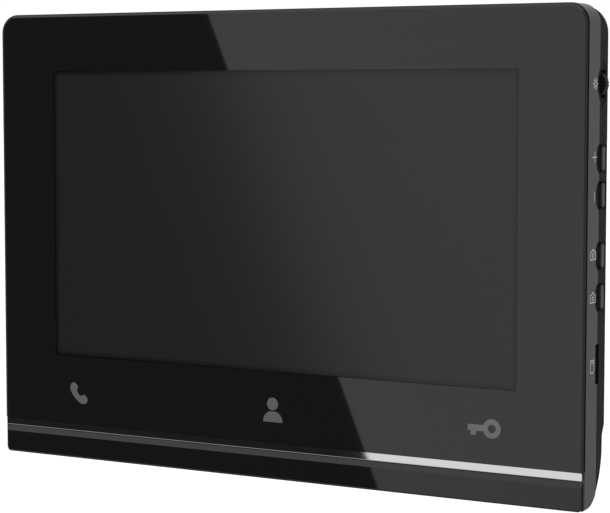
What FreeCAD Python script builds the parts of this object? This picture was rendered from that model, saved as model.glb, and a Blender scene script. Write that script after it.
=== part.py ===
import FreeCAD, Part
import Sketcher
import math
import os
import re

# Wall-hung video intercom monitor. +X runs to the right along the screen, +Z up, and the front faces -Y.
# The wall plane is Y = 0. "Depth" is the distance behind the front face, so Y = depth - face_out.
SIZES = {
    # whole housing
    "face_out": 22.5, "face_wide": 281.7, "face_top": 97.65, "face_foot": 98.15, "corner_top": 8.0,
    "corner_low": 2.0,
    # glossy front panel: bevelled lip, inset back, window for the screen
    "bevel_deep": 0.3, "bevel_wide": 1.0, "lip_deep": 0.35, "panel_back": 0.8, "panel_in": 0.3,
    "panel_inset": 0.8, "tape_in": 0.15, "panel_foot": 82.7, "panel_over": 3.0,
    "window_wide": 224.4, "window_tall": 125.4, "window_corner": 0.25, "screen_mid": 9.93,
    # trim strip and chin panel
    "trim_top": 82.8, "trim_foot": 85.9, "trim_half": 140.0, "trim_corner": 0.6, "trim_bevel": 0.2,
    "trim_bevel_deep": 0.1,
    "chin_top": 86.4, "chin_ridge": 88.7, "chin_top_deep": 0.9, "chin_edge_deep": 0.5,
    "chin_edge_tall": 0.8, "chin_back": 2.5, "chin_play": 0.1,
    "chin_half": 140.0, "chin_end_bevel": 0.5, "tongue_half": 139.1, "chin_ledge": 2.6,
    "chin_ledge_top": 86.2,
    # front frame
    "frame_front": 1.1, "parting": 11.7, "frame_wall": 2.2, "plate_back": 3.3, "chin_plate_back": 4.8,
    "foot_arc": 15.2, "foot_arc_high": 82.8, "foot_arc_low": 13.0,
    "lcd_gap_half": 118.0, "lcd_gap_tall": 144.0, "inner_corner": 5.8,
    # rear cover
    "body_deep": 21.6, "rear_inset": 0.25, "rear_lean": 1.5, "rear_wall": 2.0, "rear_corner": 11.0,
    "rear_round": 1.2, "step_top": 64.3, "step_foot": 70.3, "step_in": 3.15, "step_shift": 0.7,
    "foot_sweep": 28.8, "sweep_deep": -10.36, "sweep_high": 74.2, "cut_past": 20.0,
    # bracket recess, hooks and the bay for the line connectors
    "recess_half": 68.0, "recess_top": 51.5, "recess_foot": 60.0, "recess_deep": 3.5, "recess_corner": 4.0,
    "hook_along": 50.0, "hook_wide": 10.0, "hook_top": 28.0, "hook_low": -27.0, "hook_thick": 1.2,
    "hook_reach": 7.8, "finger_rise": 7.2, "finger_thick": 1.1, "slot_wide": 12.0, "slot_drop": 9.9,
    "slot_play": 0.1, "bay_half": 33.0, "bay_tall": 8.4,
    # wall bracket
    "plate_wide": 130.0, "plate_tall": 100.0, "plate_thick": 1.2, "plate_corner": 6.0,
    "wall_hole_along": 30.0, "wall_hole_rise": 40.0, "wall_hole_radius": 2.25,
    "box_slot_along": 30.0, "box_slot_rise": 41.65, "box_slot_long": 8.0, "box_slot_radius": 2.1,
    "cable_wide": 40.0, "cable_tall": 30.0, "lance_long": 8.6,
    # scoops and keys on the right side
    "key_deep": 16.9, "key_thick": 3.0, "key_tall": 9.6, "key_plus": 38.0, "key_minus": 23.8,
    "key_monitor": 0.3, "key_picture": -15.85, "key_out": 140.7, "key_play": 0.15, "key_flange": 1.0,
    "key_flange_out": 138.2, "key_stem_end": 134.6, "key_stem_radius": 1.3, "key_dome": 0.55,
    "key_corner": 1.42,
    "scoop_deep": 15.6, "scoop_half": 6.6, "scoop_tall": 6.3, "scoop_sink": 1.3,
    "scoop_slope": 50.0, "scoop_corner": 3.4,
    "plunger_radius": 1.78, "plunger_in": 132.6, "switch_bore": 1.85, "switch_floor": 132.0,
    "switch_out": 133.4, "switch_half": 2.6,
    # menu jog: a toothed wheel on a pin in a cradle that presses in
    "jog_high": 66.65, "jog_radius": 5.2, "jog_mid": 136.6, "jog_flat": 1.8, "jog_thick": 3.0,
    "jog_bore": 0.85,
    "pin_radius": 0.8, "pin_half": 2.35, "cheek_play": 0.15, "cheek_thick": 0.8, "cheek_radius": 1.2,
    "cradle_back": 132.6, "cradle_base": 0.8, "cradle_half": 3.4, "jog_stem_in": 131.3,
    "jog_stem_radius": 1.0, "jog_switch_out": 131.9, "jog_switch_floor": 130.6, "jog_switch_bore": 1.06,
    "jog_lens": 10.5, "jog_lens_shift": 4.3, "jog_gap_half": 5.3, "notch_radius": 0.25,
    # key board and its guide ribs
    "key_board_left": 128.3, "key_board_thick": 1.6, "key_board_front": 8.6, "key_board_rear": 19.3,
    "key_board_top": 80.0, "key_board_foot": 27.0, "guide_wide": 1.2, "guide_tall": 3.0,
    "guide_front": 12.6,
    # card slot
    "card_high": -41.6, "card_deep": 11.3, "card_slot_tall": 12.6, "card_slot_wide": 1.6,
    "card_recess_front": 9.9, "card_recess_rear": 14.2, "card_recess_tall": 15.5, "card_recess_sink": 1.3,
    "card_case_left": 122.0, "card_case_right": 137.2, "card_case_half": 7.0, "card_case_deep": 1.9,
    # display module
    "lcd_wide": 235.0, "lcd_tall": 143.0, "lcd_rear": 6.3, "lcd_bezel_skin": 0.2, "lcd_bezel_rear": 5.9,
    "bezel_gap_wide": 226.4, "bezel_gap_tall": 128.8, "glass_wide": 229.6, "glass_tall": 132.6,
    "glass_rear": 3.1, "lens_wide": 224.2, "lens_tall": 125.2, "lens_front": 0.35,
    "tray_front": 3.15, "tray_play": 0.2, "tray_rib": 0.3,
    "clamp_inner": 112.0, "clamp_outer": 124.6, "clamp_foot": 118.6, "clamp_tall": 12.0, "clamp_thick": 1.0,
    "clamp_top": 59.8, "clamp_low": -19.0, "clamp_screw": 121.6,
    # touch keys behind the panel
    "icon_phone": -99.4, "icon_person": 0.7, "icon_key": 98.3, "icon_high": -68.9, "icon_hole": 4.5,
    "post_radius": 3.6, "touch_half": 112.0, "touch_top": 62.8, "touch_foot": 76.6, "touch_front": 5.2,
    "touch_rear": 6.4, "led_wide": 1.6, "led_thick": 0.7, "led_aside": 5.8, "touch_screw": 55.0,
    "touch_stud": 2.4,
    # main board
    "sheet_front": 6.35, "sheet_rear": 6.55, "sheet_half": 100.0, "sheet_top": 60.0, "sheet_foot": 55.0,
    "board_front": 8.6, "board_rear": 10.2, "board_left": -62.0, "board_right": 110.0, "board_top": 50.0,
    "board_foot": 57.0, "arm_right": 136.0, "arm_top": -28.6, "arm_foot": -62.0,
    "boss_left": -56.0, "boss_right": 104.0, "boss_top": 45.0, "boss_foot": -51.0, "boss_radius": 3.0,
    "small_screw": 1.2, "small_bore": 1.25, "small_head": 2.4, "small_head_deep": 1.5, "small_long": 5.0,
    # housing screws
    "screw_along": 122.5, "screw_top": 87.0, "screw_mid": 5.0, "screw_foot": -77.0, "screw_radius": 1.45,
    "screw_bore": 1.5, "screw_head": 2.8, "screw_head_deep": 2.2, "screw_sink": 3.0, "sink_radius": 3.1,
    "frame_boss": 3.2, "cover_boss": 4.6, "screw_long": 11.0,
    # speaker
    "speaker_along": -93.0, "speaker_high": -22.0, "speaker_radius": 20.0, "speaker_rear": 19.2,
    "flange_thick": 1.2, "cup_radius": 17.5, "cup_front": 12.6, "cup_skin": 0.8, "magnet_radius": 11.0,
    "magnet_front": 8.2, "yoke_radius": 7.0, "cone_outer": 15.8, "cone_inner": 5.0, "cone_thick": 0.4,
    "cone_rear": 17.9, "cone_front": 14.4, "dome_radius": 5.6, "mesh_thick": 0.25, "seal_inner": 17.6,
    "grille_half": 16.0, "grille_slot": 1.6, "grille_pitch": 3.6, "speaker_screw_out": 23.0,
    "speaker_post": 2.6, "terminal_wide": 6.0,
    # microphone in the chin
    "mic_along": 70.0, "mic_deep": 7.95, "mic_radius": 2.7, "mic_tall": 2.6, "boot_radius": 3.1,
    "boot_top": -83.6, "boot_foot": -88.0, "port_radius": 0.7,
    # rear pads and vents
    "pad_radius": 5.0, "pad_along": 100.0, "pad_top": 74.0, "pad_foot": -54.0,
    "vent_wide": 2.2, "vent_tall": 14.0, "vent_pitch": 8.0, "vent_high": 68.0,
    # line connectors
    "wafer_wide": 10.6, "wafer_tall": 4.9, "wafer_rear": 17.2, "wafer_skin": 0.7, "wafer_floor": 12.4,
    "wafer_first": -26.5, "wafer_pitch": 12.6, "pin_half_wide": 0.3, "pin_pitch": 2.0, "pin_tip": 16.4,
    "power_along": 25.0, "power_wide": 9.4, "power_tall": 6.6, "power_pin_pitch": 3.96,
}

WORD = re.compile(r"[a-z_]+")
doc = FreeCAD.newDocument("video_intercom_monitor")
sheet = doc.addObject("Spreadsheet::Sheet", "sizes")
for row, (alias, value) in enumerate(SIZES.items(), start=1):
    sheet.set("A%d" % row, alias)
    sheet.set("B%d" % row, str(value))
    sheet.setAlias("B%d" % row, alias)
doc.recompute()

nodes = []
RADIAN = math.radians(1)
NEAR = 0.01
ALONG = {"x": FreeCAD.Rotation(FreeCAD.Vector(0, 1, 0), 90),
         "y": FreeCAD.Rotation(FreeCAD.Vector(1, 0, 0), -90),
         "z": FreeCAD.Rotation()}


# ---- helpers -------------------------------------------------------------------------------------------

def formula(text):
    """The text with each named size turned into a reference to its cell."""
    return WORD.sub(lambda word: "sizes." + word.group(0) if word.group(0) in SIZES else word.group(0),
                    str(text))


def bind(thing, path, text):
    thing.setExpression(path, formula(text))


def place(thing, x, depth, z):
    bind(thing, "Placement.Base.x", x)
    bind(thing, "Placement.Base.y", "(%s) - face_out" % depth)
    bind(thing, "Placement.Base.z", z)


def behind(depth):
    """The Y coordinate of a depth behind the front face."""
    return "%s - face_out" % depth


def block(name, left, right, front, rear, low, top):
    """A box from left to right, front to rear in depth, and low to top."""
    box = doc.addObject("Part::Box", name)
    bind(box, "Length", "(%s) - (%s)" % (right, left))
    bind(box, "Width", "(%s) - (%s)" % (rear, front))
    bind(box, "Height", "(%s) - (%s)" % (top, low))
    place(box, left, front, low)
    return box


def rod(name, along, radius, length, x, depth, z):
    """A cylinder that starts at the given point and runs along +X, +Y or +Z."""
    cylinder = doc.addObject("Part::Cylinder", name)
    cylinder.Placement.Rotation = ALONG[along]
    bind(cylinder, "Radius", radius)
    bind(cylinder, "Height", length)
    place(cylinder, x, depth, z)
    return cylinder


def taper(name, front_radius, rear_radius, length, x, depth, z):
    """A cone frustum that runs along +Y."""
    cone = doc.addObject("Part::Cone", name)
    cone.Placement.Rotation = ALONG["y"]
    bind(cone, "Radius1", front_radius)
    bind(cone, "Radius2", rear_radius)
    bind(cone, "Height", length)
    place(cone, x, depth, z)
    return cone


def ellipsoid(name, half_x, half_y, half_z, x, depth, z):
    solid = doc.addObject("Part::Ellipsoid", name)
    bind(solid, "Radius1", half_z)
    bind(solid, "Radius2", half_x)
    bind(solid, "Radius3", half_y)
    place(solid, x, depth, z)
    return solid


def cut(name, base, tool):
    result = doc.addObject("Part::Cut", name)
    result.Base = base
    result.Tool = tool
    return result


def fuse(name, parts):
    result = doc.addObject("Part::MultiFuse", name)
    result.Shapes = parts
    return result


def common(name, parts):
    result = doc.addObject("Part::MultiCommon", name)
    result.Shapes = parts
    return result


def group(name, parts):
    """Separate solids kept in one node."""
    result = doc.addObject("Part::Compound", name)
    result.Links = parts
    return result


def node(thing, label):
    thing.Label = label
    nodes.append(thing)
    return thing


def sketch_on(body, name, role, offset):
    """A sketch on the body's own origin plane, moved along the plane's normal."""
    sketch = body.newObject("Sketcher::SketchObject", name)
    planes = [feature for feature in body.Origin.OriginFeatures if feature.Role == role]
    sketch.AttachmentSupport = [(planes[0], "")]
    sketch.MapMode = "FlatFace"
    bind(sketch, "AttachmentOffset.Base.z", offset)
    return sketch


def draw_outline(sketch, left, right, low, top, low_radius, top_radius):
    """A rectangle with rounded corners whose four sides and radii follow the sheet."""
    x0, x1, z0, z1, r0, r1 = (float(eval_size(text)) for text in (left, right, low, top, low_radius,
                                                                  top_radius))
    point = FreeCAD.Vector
    lines = [((x0 + r0, z0), (x1 - r0, z0)), ((x1, z0 + r0), (x1, z1 - r1)),
             ((x1 - r1, z1), (x0 + r1, z1)), ((x0, z1 - r1), (x0, z0 + r0))]
    for start, end in lines:
        sketch.addGeometry(Part.LineSegment(point(*start, 0), point(*end, 0)), False)
    corners = [((x1 - r0, z0 + r0), r0, 270), ((x1 - r1, z1 - r1), r1, 0),
               ((x0 + r1, z1 - r1), r1, 90), ((x0 + r0, z0 + r0), r0, 180)]
    for centre, radius, start in corners:
        circle = Part.Circle(point(*centre, 0), point(0, 0, 1), radius)
        sketch.addGeometry(Part.ArcOfCircle(circle, start * RADIAN, (start + 90) * RADIAN), False)
    first = sketch.GeometryCount - 8
    for side in range(4):
        arc = first + 4 + side
        sketch.addConstraint(Sketcher.Constraint("Tangent", first + side, 2, arc, 1))
        sketch.addConstraint(Sketcher.Constraint("Tangent", arc, 2, first + (side + 1) % 4, 1))
        sketch.addConstraint(Sketcher.Constraint("Vertical" if side % 2 else "Horizontal", first + side))
    for side, (kind, text) in enumerate((("DistanceY", low), ("DistanceX", right),
                                         ("DistanceY", top), ("DistanceX", left))):
        index = sketch.addConstraint(Sketcher.Constraint(kind, first + side, 1, (z0, x1, z1, x0)[side]))
        bind(sketch, "Constraints[%d]" % index, text)
    for side, text in enumerate((low_radius, top_radius, top_radius, low_radius)):
        radius = (r0, r1, r1, r0)[side]
        index = sketch.addConstraint(Sketcher.Constraint("Radius", first + 4 + side, radius))
        bind(sketch, "Constraints[%d]" % index, text)


def eval_size(text):
    """The value of a size formula, used to draw a sketch near its final shape."""
    total = doc.getObject("sizes").evalExpression(formula(text).replace("sizes.", ""))
    return getattr(total, "Value", total)


def draw_polygon(sketch, points):
    """A closed polygon whose corners follow the sheet."""
    spots = [FreeCAD.Vector(eval_size(across), eval_size(up), 0) for across, up in points]
    first = sketch.GeometryCount
    count = len(spots)
    for index, spot in enumerate(spots):
        sketch.addGeometry(Part.LineSegment(spot, spots[(index + 1) % count]), False)
    for index in range(count):
        sketch.addConstraint(Sketcher.Constraint("Coincident", first + index, 2,
                                                 first + (index + 1) % count, 1))
    for index, (across, up) in enumerate(points):
        for kind, text in (("DistanceX", across), ("DistanceY", up)):
            here = sketch.addConstraint(Sketcher.Constraint(kind, first + index, 1, float(eval_size(text))))
            bind(sketch, "Constraints[%d]" % here, text)


def face_sketch(body, name, depth):
    """A sketch that faces the front, at a depth behind the front face. Its axes are X and Z."""
    return sketch_on(body, name, "XZ_Plane", "face_out - (%s)" % depth)


def pad_back(body, sketch, name, length, lean=None):
    """A pad from the sketch towards the wall."""
    pad = body.newObject("PartDesign::Pad", name)
    pad.Profile = sketch
    pad.Reversed = True
    bind(pad, "Length", length)
    if lean is not None:
        bind(pad, "TaperAngle", lean)
    body.Tip = pad
    return pad


def pocket_back(body, sketch, name, length):
    """A pocket from the sketch towards the wall; its volume is checked later."""
    pocket = body.newObject("PartDesign::Pocket", name)
    pocket.Profile = sketch
    bind(pocket, "Length", length)
    body.Tip = pocket
    return pocket


def outline_body(name, front, length, outline, lean=None):
    """A body with one rounded outline padded towards the wall."""
    body = doc.addObject("PartDesign::Body", name)
    sketch = face_sketch(body, name + "_outline", front)
    draw_outline(sketch, *outline)
    pad_back(body, sketch, name + "_pad", length, lean)
    return body


def profile_run(name, left, length, points):
    """A side profile of depths and heights, run along +X from its left end."""
    body = doc.addObject("PartDesign::Body", name)
    profile = sketch_on(body, name + "_profile", "YZ_Plane", left)
    draw_polygon(profile, [(behind(depth), high) for depth, high in points])
    run = body.newObject("PartDesign::Pad", name + "_run")
    run.Profile = profile
    bind(run, "Length", length)
    body.Tip = run
    return body


def inset_outline(inset, low_radius, top_radius):
    """The housing's outline, drawn in by the inset."""
    return ("-face_wide/2 + (%s)" % inset, "face_wide/2 - (%s)" % inset,
            "-face_foot + (%s)" % inset, "face_top - (%s)" % inset, low_radius, top_radius)


# ---- front: panel, tape, trim and chin -----------------------------------------------------------------

def panel_outline(inset, foot):
    """The housing's outline drawn in by the inset and stopped at the foot."""
    return ("-face_wide/2 + (%s)" % inset, "face_wide/2 - (%s)" % inset, foot, "face_top - (%s)" % inset,
            "trim_corner", "corner_top - (%s)" % inset)


def window_outline(grow):
    return ("-window_wide/2 - %s" % grow, "window_wide/2 + %s" % grow,
            "screen_mid - window_tall/2 - %s" % grow,
            "screen_mid + window_tall/2 + %s" % grow, "window_corner", "window_corner")


def make_front_panel():
    """Glossy panel with a bevelled lip on three sides, a straight foot, and the screen window."""
    body = doc.addObject("PartDesign::Body", "panel")
    foot = "-panel_foot - panel_over"
    bevel = face_sketch(body, "bevel_outline", "0")
    draw_outline(bevel, *panel_outline("panel_in + bevel_wide", foot))
    pad_back(body, bevel, "bevel_pad", "bevel_deep", "atan(bevel_wide / bevel_deep)")
    lip = face_sketch(body, "lip_outline", "bevel_deep")
    draw_outline(lip, *panel_outline("panel_in", foot))
    pad_back(body, lip, "lip_pad", "lip_deep - bevel_deep")
    back = face_sketch(body, "back_outline", "lip_deep")
    draw_outline(back, *panel_outline("panel_inset", foot))
    pad_back(body, back, "back_pad", "panel_back - lip_deep")
    window = face_sketch(body, "screen_window", "0")
    draw_outline(window, *window_outline("0"))
    pocket_back(body, window, "window_pocket", "panel_back")
    limit = block("panel_limit", "-face_wide", "face_wide", "0", "panel_back", "-panel_foot", "face_top")
    node(common("panel_trimmed", [body, limit]), "front_panel")


def icon_rods(name, radius, front, rear):
    return [rod("%s_%s" % (name, icon), "y", radius, "%s - %s" % (rear, front), "icon_" + icon, front,
                "icon_high")
            for icon in ("phone", "person", "key")]


def make_panel_tape():
    """Double-sided tape between the panel and the frame, open at the window and at the touch keys."""
    sheet_body = outline_body("tape", "panel_back", "frame_front - panel_back",
                              panel_outline("tape_in", "-panel_foot + panel_inset"))
    window = outline_body("tape_window", "panel_back", "frame_front - panel_back", window_outline("1"))
    holes = fuse("tape_holes", [window] + icon_rods("tape_hole", "icon_hole", "panel_back", "frame_front"))
    node(cut("tape_ring", sheet_body, holes), "panel_tape")


def make_trim_strip():
    """Metal strip under the panel, with a fine bevel along its lower front edge."""
    outline = ("-trim_half", "trim_half", "-trim_foot", "-trim_top", "trim_corner", "trim_corner")
    flat = outline_body("trim_flat", "0", "frame_front", outline)
    side = profile_run("trim_side", "-face_wide/2", "face_wide", [
        ("frame_front", "-trim_top"), ("0", "-trim_top"), ("0", "-trim_foot + trim_bevel"),
        ("trim_bevel_deep", "-trim_foot"), ("frame_front", "-trim_foot")])
    node(common("trim", [flat, side]), "trim_strip")


def make_chin_panel():
    """Glossy chin: a narrow band faces up, the main face is upright, the ends and the foot are bevelled."""
    seat = "frame_front - chin_play"
    right = [("tongue_half", "chin_back"), ("tongue_half", seat), ("chin_half", seat),
             ("chin_half", "chin_end_bevel"), ("chin_half - chin_end_bevel", "0")]
    left = [("-(%s)" % across, depth) for across, depth in right]
    face = doc.addObject("PartDesign::Body", "chin_face")
    plan = sketch_on(face, "chin_plan", "XY_Plane", "-face_foot")
    draw_polygon(plan, [(across, behind(depth)) for across, depth in left + right[::-1]])
    rise = face.newObject("PartDesign::Pad", "chin_rise")
    rise.Profile = plan
    bind(rise, "Length", "face_foot - chin_top")
    face.Tip = rise
    side = profile_run("chin_side", "-face_wide/2", "face_wide", [
        ("chin_back", "-chin_top"), ("chin_top_deep", "-chin_top"), ("0", "-chin_ridge"),
        ("0", "-face_foot + chin_edge_tall"), ("chin_edge_deep", "-face_foot"),
        ("chin_back", "-face_foot")])
    front = outline_body("chin_front", "0", "chin_back", ("-chin_half", "chin_half", "-face_foot", "0",
                                                          "corner_low",
                                                          "corner_low"))
    node(common("chin", [face, side, front]), "chin_panel")


# ---- cutters shared by the frame and the rear cover ----------------------------------------------------

def foot_cutter(name, radius, deep, high):
    """What lies outside a long arc that carries the underside up to the rear."""
    low = block(name + "_low", "-face_wide", "face_wide", deep, "%s + %s + cut_past" % (deep, radius),
                "-%s - 2 * cut_past" % high, "-%s" % high)
    arc = rod(name + "_arc", "x", radius, "2 * face_wide + 2", "-face_wide - 1", deep, "-%s" % high)
    return cut(name, low, arc)


def key_names():
    return ("plus", "minus", "monitor", "picture")


def finger_scoop(name, high):
    """A shallow trough across a key, rounded in section, with slanted ends and rounded corners."""
    body = doc.addObject("PartDesign::Body", name)
    floor = sketch_on(body, name + "_floor", "YZ_Plane", "face_wide/2 - scoop_sink")
    grow = "scoop_sink * tan(scoop_slope)"
    draw_outline(floor, behind("scoop_deep - scoop_half + " + grow),
                 behind("scoop_deep + scoop_half - " + grow),
                 "%s - scoop_tall + %s" % (high, grow), "%s + scoop_tall - %s" % (high, grow),
                 "scoop_corner",
                 "scoop_corner")
    pad = body.newObject("PartDesign::Pad", name + "_pad")
    pad.Profile = floor
    bind(pad, "Length", "2 * scoop_sink")
    bind(pad, "TaperAngle", "scoop_slope")
    body.Tip = pad
    radius = "((scoop_half^2 + scoop_sink^2) / (2 * scoop_sink))"
    trough = rod(name + "_trough", "z", radius, "4 * scoop_tall", "face_wide/2 - scoop_sink + " + radius,
                 "scoop_deep", "%s - 2 * scoop_tall" % high)
    return common(name + "_dish", [body, trough])


def side_cutters(name):
    """The finger scoops round the keys, the lens round the jog, and the card slot with its recess."""
    tools = [finger_scoop("%s_scoop_%s" % (name, key), "key_" + key) for key in key_names()]
    lens = [ellipsoid("%s_lens_%d" % (name, sign), "scoop_sink + 0.2", "jog_lens", "jog_lens",
                      "face_wide/2", "scoop_deep + %d * jog_lens_shift" % sign, "jog_high")
                      for sign in (-1, 1)]
    tools.append(common(name + "_jog_lens", lens))
    tools.append(block(name + "_card_recess", "face_wide/2 - card_recess_sink", "face_wide/2 + 2",
                       "card_recess_front", "card_recess_rear", "card_high - card_recess_tall/2",
                       "card_high + card_recess_tall/2"))
    tools.append(block(name + "_card_slot", "face_wide/2 - 6", "face_wide/2 + 2",
                       "card_deep - card_slot_wide/2", "card_deep + card_slot_wide/2",
                       "card_high - card_slot_tall/2", "card_high + card_slot_tall/2"))
    return tools


def screw_places():
    return [("%sscrew_along" % side, height) for side in ("-", "") for height in
            ("screw_top", "screw_mid", "screw_foot")]


# ---- front frame ---------------------------------------------------------------------------------------

def make_front_frame():
    """Tray that carries the display: a front plate, side walls, screw bosses and the rounded foot."""
    outer = outline_body("frame_outer", "frame_front", "parting - frame_front",
                         inset_outline("0", "corner_low", "corner_top"))
    skin = cut("frame_skin", outer, foot_cutter("frame_foot", "foot_arc", "0", "foot_arc_high"))
    hollow = outline_body("frame_hollow", "plate_back", "parting + 1 - plate_back",
                          inset_outline("frame_wall", "0.5", "inner_corner"))
    chin_back = block("chin_back_fill", "-face_wide/2", "face_wide/2", "plate_back", "chin_plate_back",
                      "-face_foot", "-chin_ledge_top + 1.2")
    cavity = cut("frame_cavity", cut("frame_room", hollow, chin_back),
                 foot_cutter("frame_foot_inner", "foot_arc_low", "0", "foot_arc_high"))
    shell = cut("frame_shell", skin, cavity)
    solids = [shell]
    for index, (x, z) in enumerate(screw_places()):
        solids.append(rod("frame_boss_%d" % index, "y", "frame_boss", "parting - 0.1 - plate_back + 0.2", x,
                          "plate_back - 0.2", z))
    for index, sign in enumerate(("-", "")):
        solids.append(rod("touch_stud_%d" % index, "y", "touch_stud", "touch_front - plate_back + 0.2",
                          "%stouch_screw" % sign, "plate_back - 0.2", "icon_high"))
        for height in ("clamp_top", "clamp_low"):
            solids.append(rod("clamp_stud_%s_%d" % (height, index), "y", "touch_stud", "0.3",
                              "%sclamp_screw" % sign, "plate_back - 0.2", height))
    body = fuse("frame_with_bosses", solids)
    tools = side_cutters("frame")
    tools.append(block("lcd_gap", "-lcd_gap_half", "lcd_gap_half", "0", "plate_back + 1",
                       "screen_mid - lcd_gap_tall/2", "screen_mid + lcd_gap_tall/2"))
    tools.append(block("chin_seat", "-tongue_half - 0.2", "tongue_half + 0.2", "0", "chin_ledge",
                       "-face_foot - 1", "-chin_ledge_top"))
    tools += icon_rods("frame_hole", "icon_hole", "0", "plate_back + 1")
    tools.append(rod("mic_port", "z", "port_radius", "9", "mic_along", "mic_deep", "boot_foot - 8.9"))
    for index, (x, z) in enumerate(screw_places()):
        tools.append(rod("frame_bore_%d" % index, "y", "screw_bore", "parting", x, "plate_back + 1", z))
    for index, sign in enumerate(("-", "")):
        tools.append(rod("touch_bore_%d" % index, "y", "small_bore", "4", "%stouch_screw" % sign,
                         "touch_front - 3.6", "icon_high"))
        for height in ("clamp_top", "clamp_low"):
            tools.append(rod("clamp_bore_%s_%d" % (height, index), "y", "small_bore", "3",
                             "%sclamp_screw" % sign, "plate_back - 1.7", height))
    node(cut("frame", body, fuse("frame_tools", tools)), "front_frame")


# ---- rear cover ----------------------------------------------------------------------------------------

def rear_form(name, extra, front, rear, corner):
    """The cover's tapered form, drawn in by extra: stepped towards the foot and swept up below."""
    form = outline_body(name + "_form", front, "%s - (%s)" % (rear, front),
                        inset_outline("rear_inset + %s" % extra, "corner_low", corner), "-rear_lean")
    rise = "%s * step_shift / 2" % extra
    step = profile_run(name + "_step", "-face_wide", "2 * face_wide", [
        ("body_deep - step_in - %s" % extra, "-face_foot - cut_past"),
        ("body_deep + cut_past", "-face_foot - cut_past"), ("body_deep + cut_past", "-step_top + " + rise),
        ("body_deep - %s" % extra, "-step_top + " + rise),
        ("body_deep - step_in - %s" % extra, "-step_foot + " + rise)])
    stepped = cut(name + "_stepped", form, step)
    sweep = foot_cutter(name + "_sweep", "foot_sweep - %s" % extra, "sweep_deep", "sweep_high")
    return cut(name + "_shape", stepped, sweep)


def grille_slots():
    """Level slots across a round field, each as long as its chord."""
    slots = []
    for row in range(-4, 5):
        rise = "%d * grille_pitch" % row
        half = "sqrt(grille_half^2 - (%s)^2)" % rise
        slots.append(block("grille_%d" % (row + 4), "speaker_along - %s" % half,
                           "speaker_along + %s" % half,
                           "body_deep - rear_wall - 1", "body_deep + 1",
                           "speaker_high + %s - grille_slot/2" % rise,
                           "speaker_high + %s + grille_slot/2" % rise))
    return slots


def vent_slots():
    return [block("vent_%d" % (index + 7), "%d * vent_pitch - vent_wide/2" % index,
                  "%d * vent_pitch + vent_wide/2" % index, "body_deep - rear_wall - 1", "body_deep + 1",
                  "vent_high - vent_tall/2", "vent_high + vent_tall/2") for index in range(-7, 8)]


def key_gap(name, key):
    half = "(key_thick/2 + key_play)"
    return block(name, "face_wide/2 - 5", "face_wide/2 + 2", "key_deep - %s" % half, "key_deep + %s" % half,
                 "key_%s - key_tall/2 - key_play" % key, "key_%s + key_tall/2 + key_play" % key)


def round_rear_edges(shape_object):
    """Round the edges between the cover's sides and its rear plane."""
    doc.recompute()
    rear = eval_size("body_deep - face_out")
    edges = []
    for index, edge in enumerate(shape_object.Shape.Edges, start=1):
        box = edge.BoundBox
        on_rear = abs(box.YMin - rear) < NEAR and abs(box.YMax - rear) < NEAR
        above_step = box.ZMin > -SIZES["step_top"] - NEAR
        step_edge = box.ZMax < 0 and box.ZLength < NEAR and box.XLength > SIZES["face_wide"] / 2
        if on_rear and above_step and not step_edge:
            edges.append((index, SIZES["rear_round"], SIZES["rear_round"]))
    rounded = doc.addObject("Part::Fillet", "cover_rounded")
    rounded.Base = shape_object
    rounded.Edges = edges
    return rounded


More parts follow.
